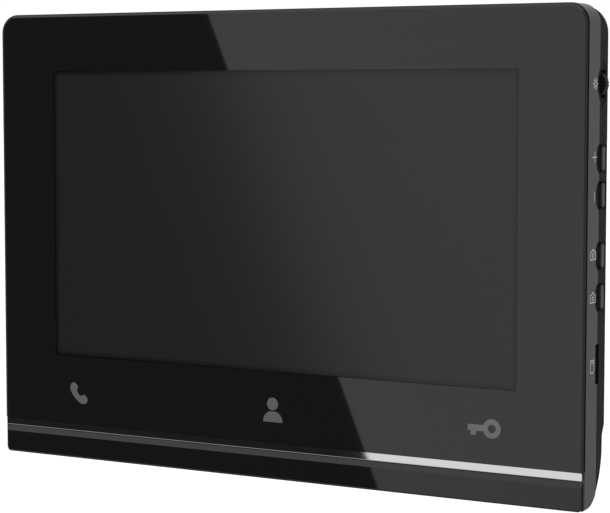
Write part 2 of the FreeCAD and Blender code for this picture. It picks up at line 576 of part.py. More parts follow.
def make_rear_cover():
    """Rear shell with the bracket recess, hook slots, connector bay, speaker grille, vents and bosses."""
    form = rear_form("cover_outer", "0", "parting", "body_deep", "rear_corner")
    outer = round_rear_edges(form)
    inner = rear_form("cover_inner", "rear_wall", "parting - 1", "body_deep - rear_wall",
                      "rear_corner - rear_wall")
    shell = cut("cover_shell", outer, inner)
    floor_front = "body_deep - recess_deep - rear_wall"
    solids = [shell, block("recess_tub", "-recess_half - rear_wall", "recess_half + rear_wall", floor_front,
                           "body_deep - 0.5", "-recess_foot - rear_wall", "recess_top + rear_wall")]
    for index, (x, z) in enumerate(screw_places()):
        rear = "body_deep - step_in" if z == "screw_foot" else "body_deep"
        boss = rod("cover_boss_%d" % index, "y", "cover_boss", "%s - 0.4 - parting" % rear, x, "parting", z)
        solids.append(common("cover_boss_trim_%d" % index, [boss, form]))
    for side in ("left", "right"):
        for height in ("top", "foot"):
            deep = floor_front if side == "left" else "body_deep - rear_wall"
            solids.append(rod("board_boss_%s_%s" % (side, height), "y", "boss_radius",
                              "%s - board_rear + 0.5" % deep, "boss_" + side, "board_rear",
                              "boss_" + height))
    for index in range(3):
        x, z = speaker_screw_place(index)
        solids.append(rod("speaker_post_%d" % index, "y", "speaker_post",
                          "body_deep - rear_wall - speaker_rear + flange_thick + 0.5", x,
                          "speaker_rear - flange_thick", z))
    for place_name, low in (("top", "key_board_top - guide_tall - 1"), ("foot", "-key_board_foot + 1")):
        for side, left in (("inner", "key_board_left - 0.1 - guide_wide"),
                           ("outer", "key_board_left + key_board_thick + 0.1")):
            solids.append(block("guide_%s_%s" % (place_name, side), left, "%s + guide_wide" % left,
                                "guide_front",
                                "body_deep - rear_wall + 0.5", low, "%s + guide_tall" % low))
    body = fuse("cover_with_bosses", solids)
    tools = side_cutters("cover") + grille_slots() + vent_slots()
    recess = outline_body("recess_hollow", "body_deep - recess_deep", "recess_deep + 1",
                          ("-recess_half", "recess_half", "-recess_foot", "recess_top", "recess_corner",
                           "recess_corner"))
    tools.append(recess)
    for side in ("-", ""):
        for height in ("hook_top", "hook_low"):
            tools.append(block("hook_slot_%s_%s" % (height, "left" if side else "right"),
                               "%shook_along - slot_wide/2" % side, "%shook_along + slot_wide/2" % side,
                               "%s - 1" % floor_front, "body_deep", "%s - slot_drop" % height,
                               "%s + slot_play" % height))
    tools.append(block("connector_gap", "-bay_half", "bay_half", "%s - 1" % floor_front, "body_deep",
                       "-bay_tall/2", "bay_tall/2"))
    for key in key_names():
        tools.append(key_gap("key_gap_" + key, key))
    tools.append(block("jog_gap", "face_wide/2 - 5", "face_wide/2 + 2", "key_deep - jog_thick/2 - key_play",
                       "key_deep + jog_thick/2 + key_play", "jog_high - jog_gap_half",
                       "jog_high + jog_gap_half"))
    for index, (x, z) in enumerate(screw_places()):
        rear = "body_deep - step_in" if z == "screw_foot" else "body_deep"
        tools.append(rod("cover_bore_%d" % index, "y", "screw_bore + 0.2", "body_deep", x, "parting - 1",
                         z))
        tools.append(rod("cover_sink_%d" % index, "y", "sink_radius", "screw_sink + 2", x,
                         "%s - screw_sink" % rear,
                         z))
    for side in ("left", "right"):
        for height in ("top", "foot"):
            tools.append(rod("board_bore_%s_%s" % (side, height), "y", "small_bore", "4.6", "boss_" + side,
                             "board_rear - 0.5", "boss_" + height))
    for index in range(3):
        x, z = speaker_screw_place(index)
        tools.append(rod("speaker_bore_%d" % index, "y", "small_bore", "2.8", x,
                         "speaker_rear - flange_thick - 0.5",
                         z))
    node(cut("cover", body, fuse("cover_tools", tools)), "rear_cover")


# ---- display module ------------------------------------------------------------------------------------

def screen_block(name, half_wide, half_tall, front, rear):
    return block(name, "-(%s)" % half_wide, half_wide, front, rear, "screen_mid - (%s)" % half_tall,
                 "screen_mid + (%s)" % half_tall)


def make_display():
    """Display glass, the cover lens bonded on it, sheet-metal bezel, backlight tray, clamps and screws."""
    node(screen_block("glass", "glass_wide/2", "glass_tall/2", "frame_front + lcd_bezel_skin",
                      "glass_rear"),
         "lcd_display")
    node(screen_block("lens", "lens_wide/2", "lens_tall/2", "lens_front", "frame_front + lcd_bezel_skin"),
         "screen_lens")
    bezel = screen_block("bezel_outer", "lcd_wide/2", "lcd_tall/2", "frame_front", "lcd_bezel_rear")
    room = screen_block("bezel_room", "lcd_wide/2 - lcd_bezel_skin", "lcd_tall/2 - lcd_bezel_skin",
                        "frame_front + lcd_bezel_skin", "lcd_bezel_rear + 1")
    gap = screen_block("bezel_gap", "bezel_gap_wide/2", "bezel_gap_tall/2", "0", "frame_front + 1")
    node(cut("bezel", bezel, fuse("bezel_tools", [room, gap])), "lcd_bezel")
    tray = screen_block("tray_slab", "lcd_wide/2 - lcd_bezel_skin - tray_play",
                        "lcd_tall/2 - lcd_bezel_skin - tray_play",
                        "tray_front", "lcd_rear - tray_rib")
    ribs = [block("tray_rib_%d" % index, "%d * lcd_wide/5 - 8" % index, "%d * lcd_wide/5 + 8" % index,
                  "lcd_rear - tray_rib - 0.1", "lcd_rear", "screen_mid - lcd_tall/2 + 12",
                  "screen_mid + lcd_tall/2 - 12") for index in (-2, -1, 0, 1, 2)]
    node(fuse("tray", [tray] + ribs), "lcd_backlight_tray")
    clamps = []
    screws = []
    for side, left, right, foot_left, foot_right in (
            ("left", "-clamp_outer", "-clamp_inner", "-clamp_outer", "-clamp_foot"),
            ("right", "clamp_inner", "clamp_outer", "clamp_foot", "clamp_outer")):
        sign = "-" if side == "left" else ""
        for height in ("clamp_top", "clamp_low"):
            label = "%s_%s" % (height, side)
            low, top = "%s - clamp_tall/2" % height, "%s + clamp_tall/2" % height
            arm = block(label + "_arm", left, right, "lcd_rear", "lcd_rear + clamp_thick", low, top)
            foot = block(label + "_foot", foot_left, foot_right, "plate_back + 0.1",
                         "lcd_rear + clamp_thick", low, top)
            hole = rod(label + "_hole", "y", "small_bore + 0.1", "10", "%sclamp_screw" % sign, "0", height)
            clamps.append(cut(label, fuse(label + "_solid", [arm, foot]), hole))
            screws.append(small_screw(label + "_screw", "%sclamp_screw" % sign, "lcd_rear + clamp_thick",
                                      height, 1))
    node(group("clamps", clamps), "lcd_clamps")
    node(group("clamp_screws", screws), "lcd_screws")


def small_screw(name, x, seat, z, facing):
    """A small pan-head screw. Facing 1 has its head towards the wall, -1 towards the front."""
    head_start = seat if facing > 0 else "%s - small_head_deep" % seat
    shank_start = "%s - small_long + 0.2" % seat if facing > 0 else "%s - 0.2" % seat
    head = rod(name + "_head", "y", "small_head", "small_head_deep", x, head_start, z)
    shank = rod(name + "_shank", "y", "small_screw", "small_long", x, shank_start, z)
    drive_start = "%s + small_head_deep - 0.8" % seat if facing > 0 else "%s - small_head_deep - 0.2" % seat
    bars = [block("%s_bar_%d" % (name, turn), "%s - %s" % (x, wide), "%s + %s" % (x, wide), drive_start,
                  "%s + 1" % drive_start, "%s - %s" % (z, tall), "%s + %s" % (z, tall))
            for turn, (wide, tall) in enumerate((("0.28", "1.3"), ("1.3", "0.28")))]
    return cut(name, fuse(name + "_solid", [head, shank]), fuse(name + "_drive", bars))


# ---- touch keys ----------------------------------------------------------------------------------------

def make_touch_keys():
    board = block("touch_slab", "-touch_half", "touch_half", "touch_front", "touch_rear", "-touch_foot",
                  "-touch_top")
    holes = [rod("touch_hole_%d" % index, "y", "small_bore + 0.1", "8", "%stouch_screw" % sign,
                 "touch_front - 4",
                 "icon_high") for index, sign in enumerate(("-", ""))]
    node(cut("touch", board, fuse("touch_holes", holes)), "touch_board")
    node(group("posts", icon_rods("post", "post_radius", "panel_back", "touch_front")), "touch_posts")
    leds = []
    for icon in ("phone", "person", "key"):
        for index, sign in enumerate(("-", "+")):
            x = "icon_%s %s led_aside" % (icon, sign)
            leds.append(block("led_%s_%d" % (icon, index), "%s - led_wide/2" % x, "%s + led_wide/2" % x,
                              "touch_front - led_thick", "touch_front", "icon_high - led_wide/4",
                              "icon_high + led_wide/4"))
    node(group("leds", leds), "icon_leds")
    screws = [small_screw("touch_screw_%d" % index, "%stouch_screw" % sign, "touch_rear", "icon_high", 1)
              for index, sign in enumerate(("-", ""))]
    return screws


# ---- main board ----------------------------------------------------------------------------------------

def on_board(name, left, wide, low, tall, height):
    """A component on the rear of the main board."""
    return block(name, left, "%s + %s" % (left, wide), "board_rear", "board_rear + %s" % height, low,
                 "%s + %s" % (low, tall))


def make_main_board():
    slab = block("board_slab", "board_left", "board_right", "board_front", "board_rear", "-board_foot",
                 "board_top")
    arm = block("board_arm", "board_right - 1", "arm_right", "board_front", "board_rear", "arm_foot",
                "arm_top")
    holes = [rod("board_hole_%s_%s" % (side, height), "y", "small_bore + 0.1", "4", "boss_" + side,
                 "board_front - 1", "boss_" + height) for side in ("left", "right")
                 for height in ("top", "foot")]
    node(cut("board", fuse("board_solid", [slab, arm]), fuse("board_holes", holes)), "main_board")
    screws = [small_screw("board_screw_%s_%s" % (side, height), "boss_" + side, "board_front",
                          "boss_" + height, -1)
              for side in ("left", "right") for height in ("top", "foot")]
    film = block("film", "-sheet_half", "sheet_half", "sheet_front", "sheet_rear", "-sheet_foot",
                 "sheet_top")
    node(film, "insulating_sheet")
    chips = [on_board("chip_%d" % index, left, wide, low, tall, "1.1") for index, (left, wide, low, tall) in
             enumerate((("70", "20", "8", "20"), ("-20", "14", "36", "9"), ("4", "10", "36", "9"),
                        ("74", "12", "-24", "12"), ("-30", "8", "-50", "8"), ("-8", "9", "-50", "6")))]
    node(group("chips", chips), "board_chips")
    can = on_board("can_outer", "66", "28", "4", "28", "2.6")
    room = block("can_room", "66.3", "93.7", "board_rear - 1", "board_rear + 2.3", "4.3", "31.7")
    node(cut("can", can, room), "shield_can")
    cans = []
    for index, (x, z, radius, tall) in enumerate((("82", "-44", "4", "8"), ("92", "-44", "4", "8"),
                                                  ("88", "40", "3.15", "6"), ("96", "40", "3.15", "6"),
                                                  ("-22", "-32", "2.5", "4.2"), ("22", "-44", "2.5",
                                                                                 "4.2"))):
        cans.append(rod("capacitor_%d" % index, "y", radius, tall, x, "board_rear", z))
    node(group("capacitors", cans), "board_capacitors")
    coils = [on_board("coil_%d" % index, left, "7", low, "7", "3.6") for index, (left, low) in
             enumerate((("58", "-50"), ("100", "-38"), ("100", "-26")))]
    node(group("coils", coils), "board_inductors")
    holder = fuse("cell_holder_solid", [on_board("cell_base", "-2", "22", "-30", "18", "0.8"),
                                        on_board("cell_lug_left", "-2", "3", "-24", "6", "3.6"),
                                        on_board("cell_lug_right", "17", "3", "-24", "6", "3.6")])
    node(holder, "clock_cell_holder")
    node(rod("cell", "y", "6.25", "2.5", "9", "board_rear + 0.9", "-21"), "clock_cell")
    return screws


def make_connectors():
    """Four line sockets and one supply socket that open into the rear bay, with their pins."""
    wafers = []
    pins = []
    for index in range(4):
        x = "wafer_first + %d * wafer_pitch" % index
        wafers.append(socket_body("wafer_%d" % index, x, "wafer_wide", "wafer_tall"))
        for place_index in range(4):
            pins.append(contact_pin("pin_%d_%d" % (index, place_index),
                                    "%s + (%d - 1.5) * pin_pitch" % (x, place_index)))
    node(group("wafers", wafers), "line_connectors")
    node(socket_body("supply", "power_along", "power_wide", "power_tall"), "power_connector")
    for index in range(2):
        pins.append(contact_pin("supply_pin_%d" % index,
                                "power_along + (%d - 0.5) * power_pin_pitch" % index))
    node(group("pins", pins), "connector_pins")


def socket_body(name, x, wide, tall):
    shell = block(name + "_shell", "%s - %s/2" % (x, wide), "%s + %s/2" % (x, wide), "board_rear",
                  "wafer_rear",
                  "-%s/2" % tall, "%s/2" % tall)
    room = block(name + "_room", "%s - %s/2 + wafer_skin" % (x, wide), "%s + %s/2 - wafer_skin" % (x, wide),
                 "wafer_floor", "wafer_rear + 1", "-%s/2 + wafer_skin" % tall, "%s/2 - wafer_skin" % tall)
    key = block(name + "_key", "%s - %s/4" % (x, wide), "%s + %s/4" % (x, wide), "wafer_floor + 2",
                "wafer_rear + 1", "%s/2 - wafer_skin - 0.1" % tall, "%s/2 + 1" % tall)
    bore = block(name + "_bore", "%s - %s/2 + wafer_skin + 0.4" % (x, wide),
                 "%s + %s/2 - wafer_skin - 0.4" % (x, wide),
                 "board_rear - 1", "wafer_floor + 0.5", "-pin_half_wide", "pin_half_wide")
    return cut(name, shell, fuse(name + "_tools", [room, key, bore]))


def contact_pin(name, x):
    return block(name, "%s - pin_half_wide" % x, "%s + pin_half_wide" % x, "board_rear", "pin_tip",
                 "-pin_half_wide + 0.02", "pin_half_wide - 0.02")


def make_card_socket():
    """Metal card socket on the board's arm, open towards the slot."""
    case = block("card_case", "card_case_left", "card_case_right", "board_rear",
                 "board_rear + card_case_deep",
                 "card_high - card_case_half", "card_high + card_case_half")
    mouth = block("card_mouth", "card_case_left + 1.5", "card_case_right + 1", "board_rear + 0.4",
                  "board_rear + card_case_deep - 0.3", "card_high - card_case_half + 0.9",
                  "card_high + card_case_half - 0.9")
    node(cut("card", case, mouth), "card_socket")


# ---- side keys and jog ---------------------------------------------------------------------------------

def make_key_board():
    slab = block("key_slab", "key_board_left", "key_board_left + key_board_thick", "key_board_front",
                 "key_board_rear", "-key_board_foot", "key_board_top")
    node(slab, "key_board")
    bodies = []
    for key in key_names():
        case = block("switch_case_" + key, "key_board_left + key_board_thick", "switch_out",
                     "key_deep - switch_half", "key_deep + switch_half - 0.2", "key_%s - switch_half" % key,
                     "key_%s + switch_half" % key)
        bore = rod("switch_bore_" + key, "x", "switch_bore", "switch_out - switch_floor + 1",
                   "switch_floor",
                   "key_deep", "key_" + key)
        bodies.append(cut("switch_" + key, case, bore))
    node(group("switches", bodies), "key_switches")
    case = block("jog_switch_case", "key_board_left + key_board_thick", "jog_switch_out",
                 "key_deep - switch_half",
                 "key_deep + switch_half - 0.2", "jog_high - switch_half", "jog_high + switch_half")
    bore = rod("jog_switch_hole", "x", "jog_switch_bore", "3", "jog_switch_floor", "key_deep", "jog_high")
    node(cut("jog_switch_body", case, bore), "jog_switch")


def make_side_key(key):
    """A pill-shaped key with a flange behind the wall, a stem, and the switch plunger that it pushes."""
    high = "key_" + key
    body = doc.addObject("PartDesign::Body", "cap_body_" + key)
    pill = sketch_on(body, "cap_outline_" + key, "YZ_Plane", "key_flange_out - 0.2")
    draw_outline(pill, "key_deep - key_thick/2 - face_out", "key_deep + key_thick/2 - face_out",
                 "%s - key_tall/2" % high, "%s + key_tall/2" % high, "key_corner", "key_corner")
    pad = body.newObject("PartDesign::Pad", "cap_pad_" + key)
    pad.Profile = pill
    bind(pad, "Length", "key_out - key_flange_out + 0.2")
    body.Tip = pad
    doc.recompute()
    outer = eval_size("key_out")
    rim = [(index, SIZES["key_dome"], SIZES["key_dome"]) for index,
           edge in enumerate(body.Shape.Edges, start=1)
           if abs(edge.BoundBox.XMin - outer) < NEAR]
    cap = doc.addObject("Part::Fillet", "cap_rounded_" + key)
    cap.Base = body
    cap.Edges = rim
    flange = block("cap_flange_" + key, "key_flange_out - key_flange", "key_flange_out",
                   "key_deep - key_thick/2 - 0.9", "key_deep + key_thick/2 + 0.9",
                   "%s - key_tall/2 - 1.2" % high,
                   "%s + key_tall/2 + 1.2" % high)
    stem = rod("cap_stem_" + key, "x", "key_stem_radius", "key_flange_out - key_stem_end - 0.2",
               "key_stem_end",
               "key_deep", high)
    node(fuse("cap_" + key, [cap, flange, stem]), "key_" + key)
    node(rod("push_" + key, "x", "plunger_radius", "key_stem_end - plunger_in", "plunger_in", "key_deep",
             high),
         "plunger_" + key)


def make_jog():
    """Toothed wheel on its pin, and the cradle that presses the switch behind it."""
    disc = rod("jog_disc", "y", "jog_radius", "jog_thick", "jog_mid", "key_deep - jog_thick/2", "jog_high")
    tools = [block("jog_flat_side", "jog_mid - 2 * jog_radius", "jog_mid - jog_flat",
                   "key_deep - jog_thick",
                   "key_deep + jog_thick", "jog_high - 2 * jog_radius", "jog_high + 2 * jog_radius"),
             rod("jog_eye", "y", "jog_bore", "jog_thick + 2", "jog_mid", "key_deep - jog_thick/2 - 1",
                 "jog_high")]
    for index in range(24):
        turn = "%d * 360 / 24" % index
        tools.append(rod("jog_notch_%d" % index, "y", "notch_radius", "jog_thick + 2",
                         "jog_mid + (jog_radius + 0.05) * cos(%s)" % turn, "key_deep - jog_thick/2 - 1",
                         "jog_high + (jog_radius + 0.05) * sin(%s)" % turn))
    node(cut("jog", disc, fuse("jog_tools", tools)), "jog_wheel")
    node(rod("pin", "y", "pin_radius", "2 * pin_half", "jog_mid", "key_deep - pin_half", "jog_high"),
         "jog_pin")
    solids = [block("cradle_base_plate", "cradle_back", "cradle_back + cradle_base",
                    "key_deep - jog_thick/2 - cheek_play - cheek_thick",
                    "key_deep + jog_thick/2 + cheek_play + cheek_thick", "jog_high - cradle_half",
                    "jog_high + cradle_half")]
    for index, front in enumerate(("key_deep - jog_thick/2 - cheek_play - cheek_thick",
                                   "key_deep + jog_thick/2 + cheek_play")):
        solids.append(block("cheek_arm_%d" % index, "cradle_back", "jog_mid", front,
                            "%s + cheek_thick" % front,
                            "jog_high - cheek_radius", "jog_high + cheek_radius"))
        solids.append(rod("cheek_eye_%d" % index, "y", "cheek_radius", "cheek_thick", "jog_mid", front,
                          "jog_high"))
    solids.append(rod("jog_stem", "x", "jog_stem_radius", "cradle_back - jog_stem_in + 0.2", "jog_stem_in",
                      "key_deep", "jog_high"))
    bore = rod("cradle_bore", "y", "pin_radius", "12", "jog_mid", "key_deep - 6", "jog_high")
    node(cut("cradle", fuse("cradle_solid", solids), bore), "jog_cradle")


# ---- speaker and microphone ----------------------------------------------------------------------------

def speaker_screw_place(index):
    turn = "60 + %d * 120" % index
    return ("speaker_along + speaker_screw_out * cos(%s)" % turn,
            "speaker_high + speaker_screw_out * sin(%s)" % turn)


def speaker_rod(name, radius, front, rear):
    return rod(name, "y", radius, "(%s) - (%s)" % (rear, front), "speaker_along", front, "speaker_high")


def make_speaker():
    flange = speaker_rod("basket_flange", "speaker_radius", "speaker_rear - flange_thick", "speaker_rear")
    cup = speaker_rod("basket_cup", "cup_radius", "cup_front", "speaker_rear")
    room = speaker_rod("basket_room", "cup_radius - cup_skin", "cup_front + cup_skin", "speaker_rear + 1")
    eye = speaker_rod("basket_eye", "yoke_radius", "cup_front - 1", "cup_front + 2")
    holes = [rod("basket_hole_%d" % index, "y", "2.6", "3", "speaker_along + 12 * cos(%d)" % (index * 60),
                 "cup_front - 1", "speaker_high + 12 * sin(%d)" % (index * 60)) for index in range(6)]
    node(cut("basket", fuse("basket_solid", [flange, cup]), fuse("basket_tools", [room, eye] + holes)),
         "speaker_basket")
    magnet = fuse("magnet_solid", [speaker_rod("magnet_ring", "magnet_radius", "magnet_front", "cup_front"),
                                   speaker_rod("magnet_pole", "yoke_radius - 0.3", "cup_front - 0.2",
                                               "cup_front + 0.6")])
    node(magnet, "speaker_magnet")
    outside = taper("cone_outside", "cone_inner", "cone_outer", "cone_rear - cone_front", "speaker_along",
                    "cone_front", "speaker_high")
    inside = taper("cone_inside", "cone_inner", "cone_outer", "cone_rear - cone_front", "speaker_along",
                   "cone_front + cone_thick", "speaker_high")
    cap = speaker_rod("cone_cap", "dome_radius", "cone_front", "cone_front + 0.6")
    rim = speaker_rod("cone_rim", "cup_radius - cup_skin - 0.1", "cone_rear - cone_thick", "cone_rear")
    rim_eye = speaker_rod("cone_rim_eye", "cone_outer - 0.8", "cone_rear - 1", "cone_rear + 1")
    cone = fuse("cone_solid", [cut("cone_sheet", outside, inside), cap, cut("cone_edge", rim, rim_eye)])
    node(cone, "speaker_cone")
    ring = speaker_rod("seal_disc", "speaker_radius", "speaker_rear", "body_deep - rear_wall")
    eye = speaker_rod("seal_eye", "seal_inner", "speaker_rear - 1", "body_deep")
    node(cut("seal", ring, eye), "speaker_seal")
    node(speaker_rod("dust_mesh", "seal_inner - 0.2", "body_deep - rear_wall - mesh_thick",
                     "body_deep - rear_wall"),
         "speaker_mesh")
    screws = []
    for index in range(3):
        x, z = speaker_screw_place(index)
        washer = rod("washer_%d" % index, "y", "5", "0.6", x, "speaker_rear - flange_thick - 0.6", z)
        head = rod("washer_head_%d" % index, "y", "small_head", "small_head_deep", x,
                   "speaker_rear - flange_thick - 0.5 - small_head_deep", z)
        shank = rod("washer_shank_%d" % index, "y", "small_screw", "2.4", x,
                    "speaker_rear - flange_thick - 0.4", z)
        screws.append(fuse("speaker_fix_%d" % index, [washer, head, shank]))
    node(group("speaker_fixings", screws), "speaker_screws")
    node(block("terminal", "speaker_along - terminal_wide/2", "speaker_along + terminal_wide/2",
               "cup_front + 1",
               "cup_front + 2", "speaker_high + cup_radius", "speaker_high + cup_radius + 3"),
               "speaker_terminal")


def make_microphone():
    boot = rod("boot_outer", "z", "boot_radius", "boot_top - boot_foot", "mic_along", "mic_deep",
               "boot_foot")
    room = rod("boot_room", "z", "mic_radius", "5", "mic_along", "mic_deep", "boot_foot + 1.2")
    port = rod("boot_port", "z", "port_radius", "3", "mic_along", "mic_deep", "boot_foot - 1")
    node(cut("boot", boot, fuse("boot_tools", [room, port])), "mic_boot")
    node(rod("mic", "z", "mic_radius", "mic_tall", "mic_along", "mic_deep", "boot_foot + 1.2"),
         "microphone")


# ---- leads and ribbons ---------------------------------------------------------------------------------

def strip_body(name, role, offset, points, length):
    """A flat ribbon: its side profile padded across its width."""
    body = doc.addObject("PartDesign::Body", name)
    sketch = sketch_on(body, name + "_profile", role, offset)
    draw_polygon(sketch, points)
    pad = body.newObject("PartDesign::Pad", name + "_run")
    pad.Profile = sketch
    bind(pad, "Length", length)
    body.Tip = pad
    return body


def make_ribbons():
    lcd = strip_body("lcd_strip", "YZ_Plane", "24", [
        (behind("lcd_rear + 0.3"), "-56"), (behind("lcd_rear + 0.3"), "-61.2"),
        (behind("board_front - 0.8"), "-62.6"),
        (behind("board_rear + 0.3"), "-61.4"), (behind("board_rear + 0.3"), "-54"),
        (behind("board_rear + 0.1"), "-54"),
        (behind("board_rear + 0.1"), "-61.2"), (behind("board_front - 0.8"), "-62.3"),
        (behind("lcd_rear + 0.5"), "-61"),
        (behind("lcd_rear + 0.5"), "-56")], "30")
    node(lcd, "lcd_ribbon")
    socket = [on_board("lcd_ribbon_socket", "22", "34", "-53.9", "4", "0.9"),
              on_board("key_ribbon_socket", "100", "4", "-14", "12", "0.9")]
    socket += [on_board("speaker_lead_socket", "-60.5", "6", "8", "9", "2.4"),
               on_board("mic_lead_socket", "66", "8", "-55", "4.6", "2.2")]
    node(group("board_sockets_group", socket), "board_sockets")
    keys = strip_body("key_strip", "XY_Plane", "-13", [
        ("104.2", behind("board_rear + 0.1")), ("104.2", behind("board_rear + 0.3")),
        ("112", behind("board_rear + 0.3")),
        ("118", behind("13.3")), ("key_board_left", behind("13.3")), ("key_board_left", behind("13.1")),
        ("118.1", behind("13.1")), ("112.1", behind("board_rear + 0.1"))], "10")
    node(keys, "key_ribbon")


def lead(name, points, radius):
    """A lead made of straight runs joined by tangent arcs."""
    spots = [FreeCAD.Vector(x, y - SIZES["face_out"], z) for x, y, z in points]
    edges = []
    start = spots[0]
    for before, corner, after in zip(spots, spots[1:], spots[2:]):
        inward = (before - corner).normalize()
        onward = (after - corner).normalize()
        turn = math.pi - inward.getAngle(onward)
        reach = 0.42 * min((before - corner).Length, (after - corner).Length)
        bend = reach / math.tan(turn / 2)
        first = corner + inward * reach
        last = corner + onward * reach
        middle_way = (inward + onward).normalize()
        centre = corner + middle_way * (bend ** 2 + reach ** 2) ** 0.5
        edges.append(Part.LineSegment(start, first).toShape())
        edges.append(Part.Arc(first, centre - middle_way * bend, last).toShape())
        start = last
    edges.append(Part.LineSegment(start, spots[-1]).toShape())
    path = Part.Wire(edges)
    ring = Part.Wire([Part.makeCircle(radius, spots[0], spots[1] - spots[0])])
    tube = path.makePipeShell([ring], True, False)
    result = doc.addObject("Part::Feature", name)
    result.Shape = tube
    return result


def make_leads():
    top = SIZES["speaker_high"] + SIZES["cup_radius"] + 3
    x = SIZES["speaker_along"]
    deep = SIZES["cup_front"] + 1.5
    leads = []
    for index, shift in enumerate((-1.2, 1.2)):
        leads.append(lead("speaker_lead_%d" % index, [
            (x + shift, deep, top), (x + shift, deep, top + 8 - shift), (x + 14, deep, top + 14 - shift),
            (x + 25, 11.3, top + 14 - shift), (-60.5, 11.3, top + 14 - shift)], 0.6))
    node(group("speaker_wires", leads), "speaker_leads")
    mic_x = SIZES["mic_along"]
    mic_deep = SIZES["mic_deep"]
    pair = []
    for index, shift in enumerate((-0.9, 0.9)):
        low = SIZES["boot_foot"] + 1.2 + SIZES["mic_tall"]
        pair.append(lead("mic_lead_%d" % index, [
            (mic_x + shift, mic_deep, low), (mic_x + shift, mic_deep, low + 5.5),
            (mic_x + shift, 12.0, low + 12), (mic_x + shift, 12.0, low + 18), (mic_x + shift, 11.2, -55.06)],
            0.45))
    node(group("mic_wires", pair), "mic_leads")


# ---- fasteners and pads --------------------------------------------------------------------------------

def make_housing_screws():
    screws = []
    for index, (x, z) in enumerate(screw_places()):
        rear = "body_deep - step_in" if z == "screw_foot" else "body_deep"
        seat = "%s - screw_sink" % rear
        head = rod("housing_head_%d" % index, "y", "screw_head", "screw_head_deep", x, seat, z)
        shank = rod("housing_shank_%d" % index, "y", "screw_radius", "screw_long + 0.2", x,
                    "%s - screw_long" % seat, z)
        drive = "%s + screw_head_deep - 1.1" % seat
        bars = [block("housing_bar_%d_%d" % (index, turn), "%s - %s" % (x, wide), "%s + %s" % (x, wide),
                      drive,
                      "%s + 2" % drive, "%s - %s" % (z, tall), "%s + %s" % (z, tall))
                for turn, (wide, tall) in enumerate((("0.35", "1.6"), ("1.6", "0.35")))]
        screws.append(cut("housing_screw_%d" % index, fuse("housing_solid_%d" % index, [head, shank]),
                          fuse("housing_drive_%d" % index, bars)))
    node(group("housing_fixings", screws), "housing_screws")


def make_rear_pads():
    pads = [rod("pad_%d" % index, "y", "pad_radius", "face_out - body_deep", x, "body_deep", z)
            for index, (x, z) in enumerate((("-pad_along", "pad_top"), ("pad_along", "pad_top"),
                                            ("-pad_along", "pad_foot"), ("pad_along", "pad_foot")))]
    node(group("pads", pads), "rear_pads")


# ---- wall bracket --------------------------------------------------------------------------------------

def stadium(name, x, z, along):
    """A slot with round ends through the bracket plate."""
    half = "(box_slot_long/2 - box_slot_radius)"
    front = "face_out - plate_thick - 1"
    size = "box_slot_radius"
    if along == "x":
        mid = block(name + "_mid", "%s - %s" % (x, half), "%s + %s" % (x, half), front, "face_out + 1",
                    "%s - %s" % (z, size), "%s + %s" % (z, size))
        ends = [rod("%s_end_%d" % (name, index), "y", size, "plate_thick + 2", "%s %s %s" % (x, sign, half),
                    front, z)
                for index, sign in enumerate(("-", "+"))]
    else:
        mid = block(name + "_mid", "%s - %s" % (x, size), "%s + %s" % (x, size), front, "face_out + 1",
                    "%s - %s" % (z, half), "%s + %s" % (z, half))
        ends = [rod("%s_end_%d" % (name, index), "y", size, "plate_thick + 2", x, front,
                    "%s %s %s" % (z, sign, half))
                for index, sign in enumerate(("-", "+"))]
    return fuse(name, [mid] + ends)


def make_wall_bracket():
    """Steel plate with four hooks bent out of it, screw holes, box slots and the cable window."""
    front = "face_out - plate_thick"
    plate = outline_body("plate", front, "plate_thick",
                         ("-plate_wide/2", "plate_wide/2", "-plate_tall/2", "plate_tall/2", "plate_corner",
                          "plate_corner"))
    tools = [outline_body("cable_window", "%s - 1" % front, "plate_thick + 2",
                          ("-cable_wide/2", "cable_wide/2", "-cable_tall/2", "cable_tall/2", "3", "3"))]
    hooks = []
    for side in ("-", ""):
        for height in ("hook_top", "hook_low"):
            label = "%s_%s" % (height, "left" if side else "right")
            left, right = "%shook_along - hook_wide/2" % side, "%shook_along + hook_wide/2" % side
            hooks.append(block(label + "_neck", left, right, "face_out - hook_reach", "%s + 0.2" % front,
                               "%s - hook_thick" % height, height))
            hooks.append(block(label + "_finger", left, right, "face_out - hook_reach",
                               "face_out - hook_reach + finger_thick", "%s - hook_thick" % height,
                               "%s + finger_rise" % height))
            tools.append(block(label + "_lance", "%s - 0.4" % left, "%s + 0.4" % right, "%s - 0.1" % front,
                               "face_out + 1", "%s - hook_thick - lance_long" % height,
                               "%s - hook_thick" % height))
        for sign in ("-", ""):
            tools.append(rod("wall_hole_%s_%s" % (len(tools), "low" if sign else "high"), "y",
                             "wall_hole_radius",
                             "plate_thick + 2", "%swall_hole_along" % side, "%s - 1" % front,
                             "%swall_hole_rise" % sign))
        tools.append(stadium("box_slot_wide_%s" % ("left" if side else "right"), "%sbox_slot_along" % side,
                             "0", "x"))
        tools.append(stadium("box_slot_tall_%s" % ("low" if side else "high"), "0",
                             "%sbox_slot_rise" % side, "z"))
    node(cut("bracket", fuse("bracket_solid", [plate] + hooks), fuse("bracket_tools", tools)),
         "wall_bracket")


# ---- build, check and write ----------------------------------------------------------------------------

def build():
    make_front_panel()
    make_panel_tape()
    make_trim_strip()
    make_chin_panel()
    make_front_frame()
    make_rear_cover()
    make_display()
    screws = make_touch_keys()
    screws += make_main_board()
    node(group("board_fixings", screws), "board_screws")
    make_connectors()
    make_card_socket()
    make_key_board()
    for key in key_names():
        make_side_key(key)
    make_jog()
    make_speaker()
    make_microphone()
    make_ribbons()
    make_leads()
    make_housing_screws()
    make_rear_pads()
    make_wall_bracket()
    doc.recompute()


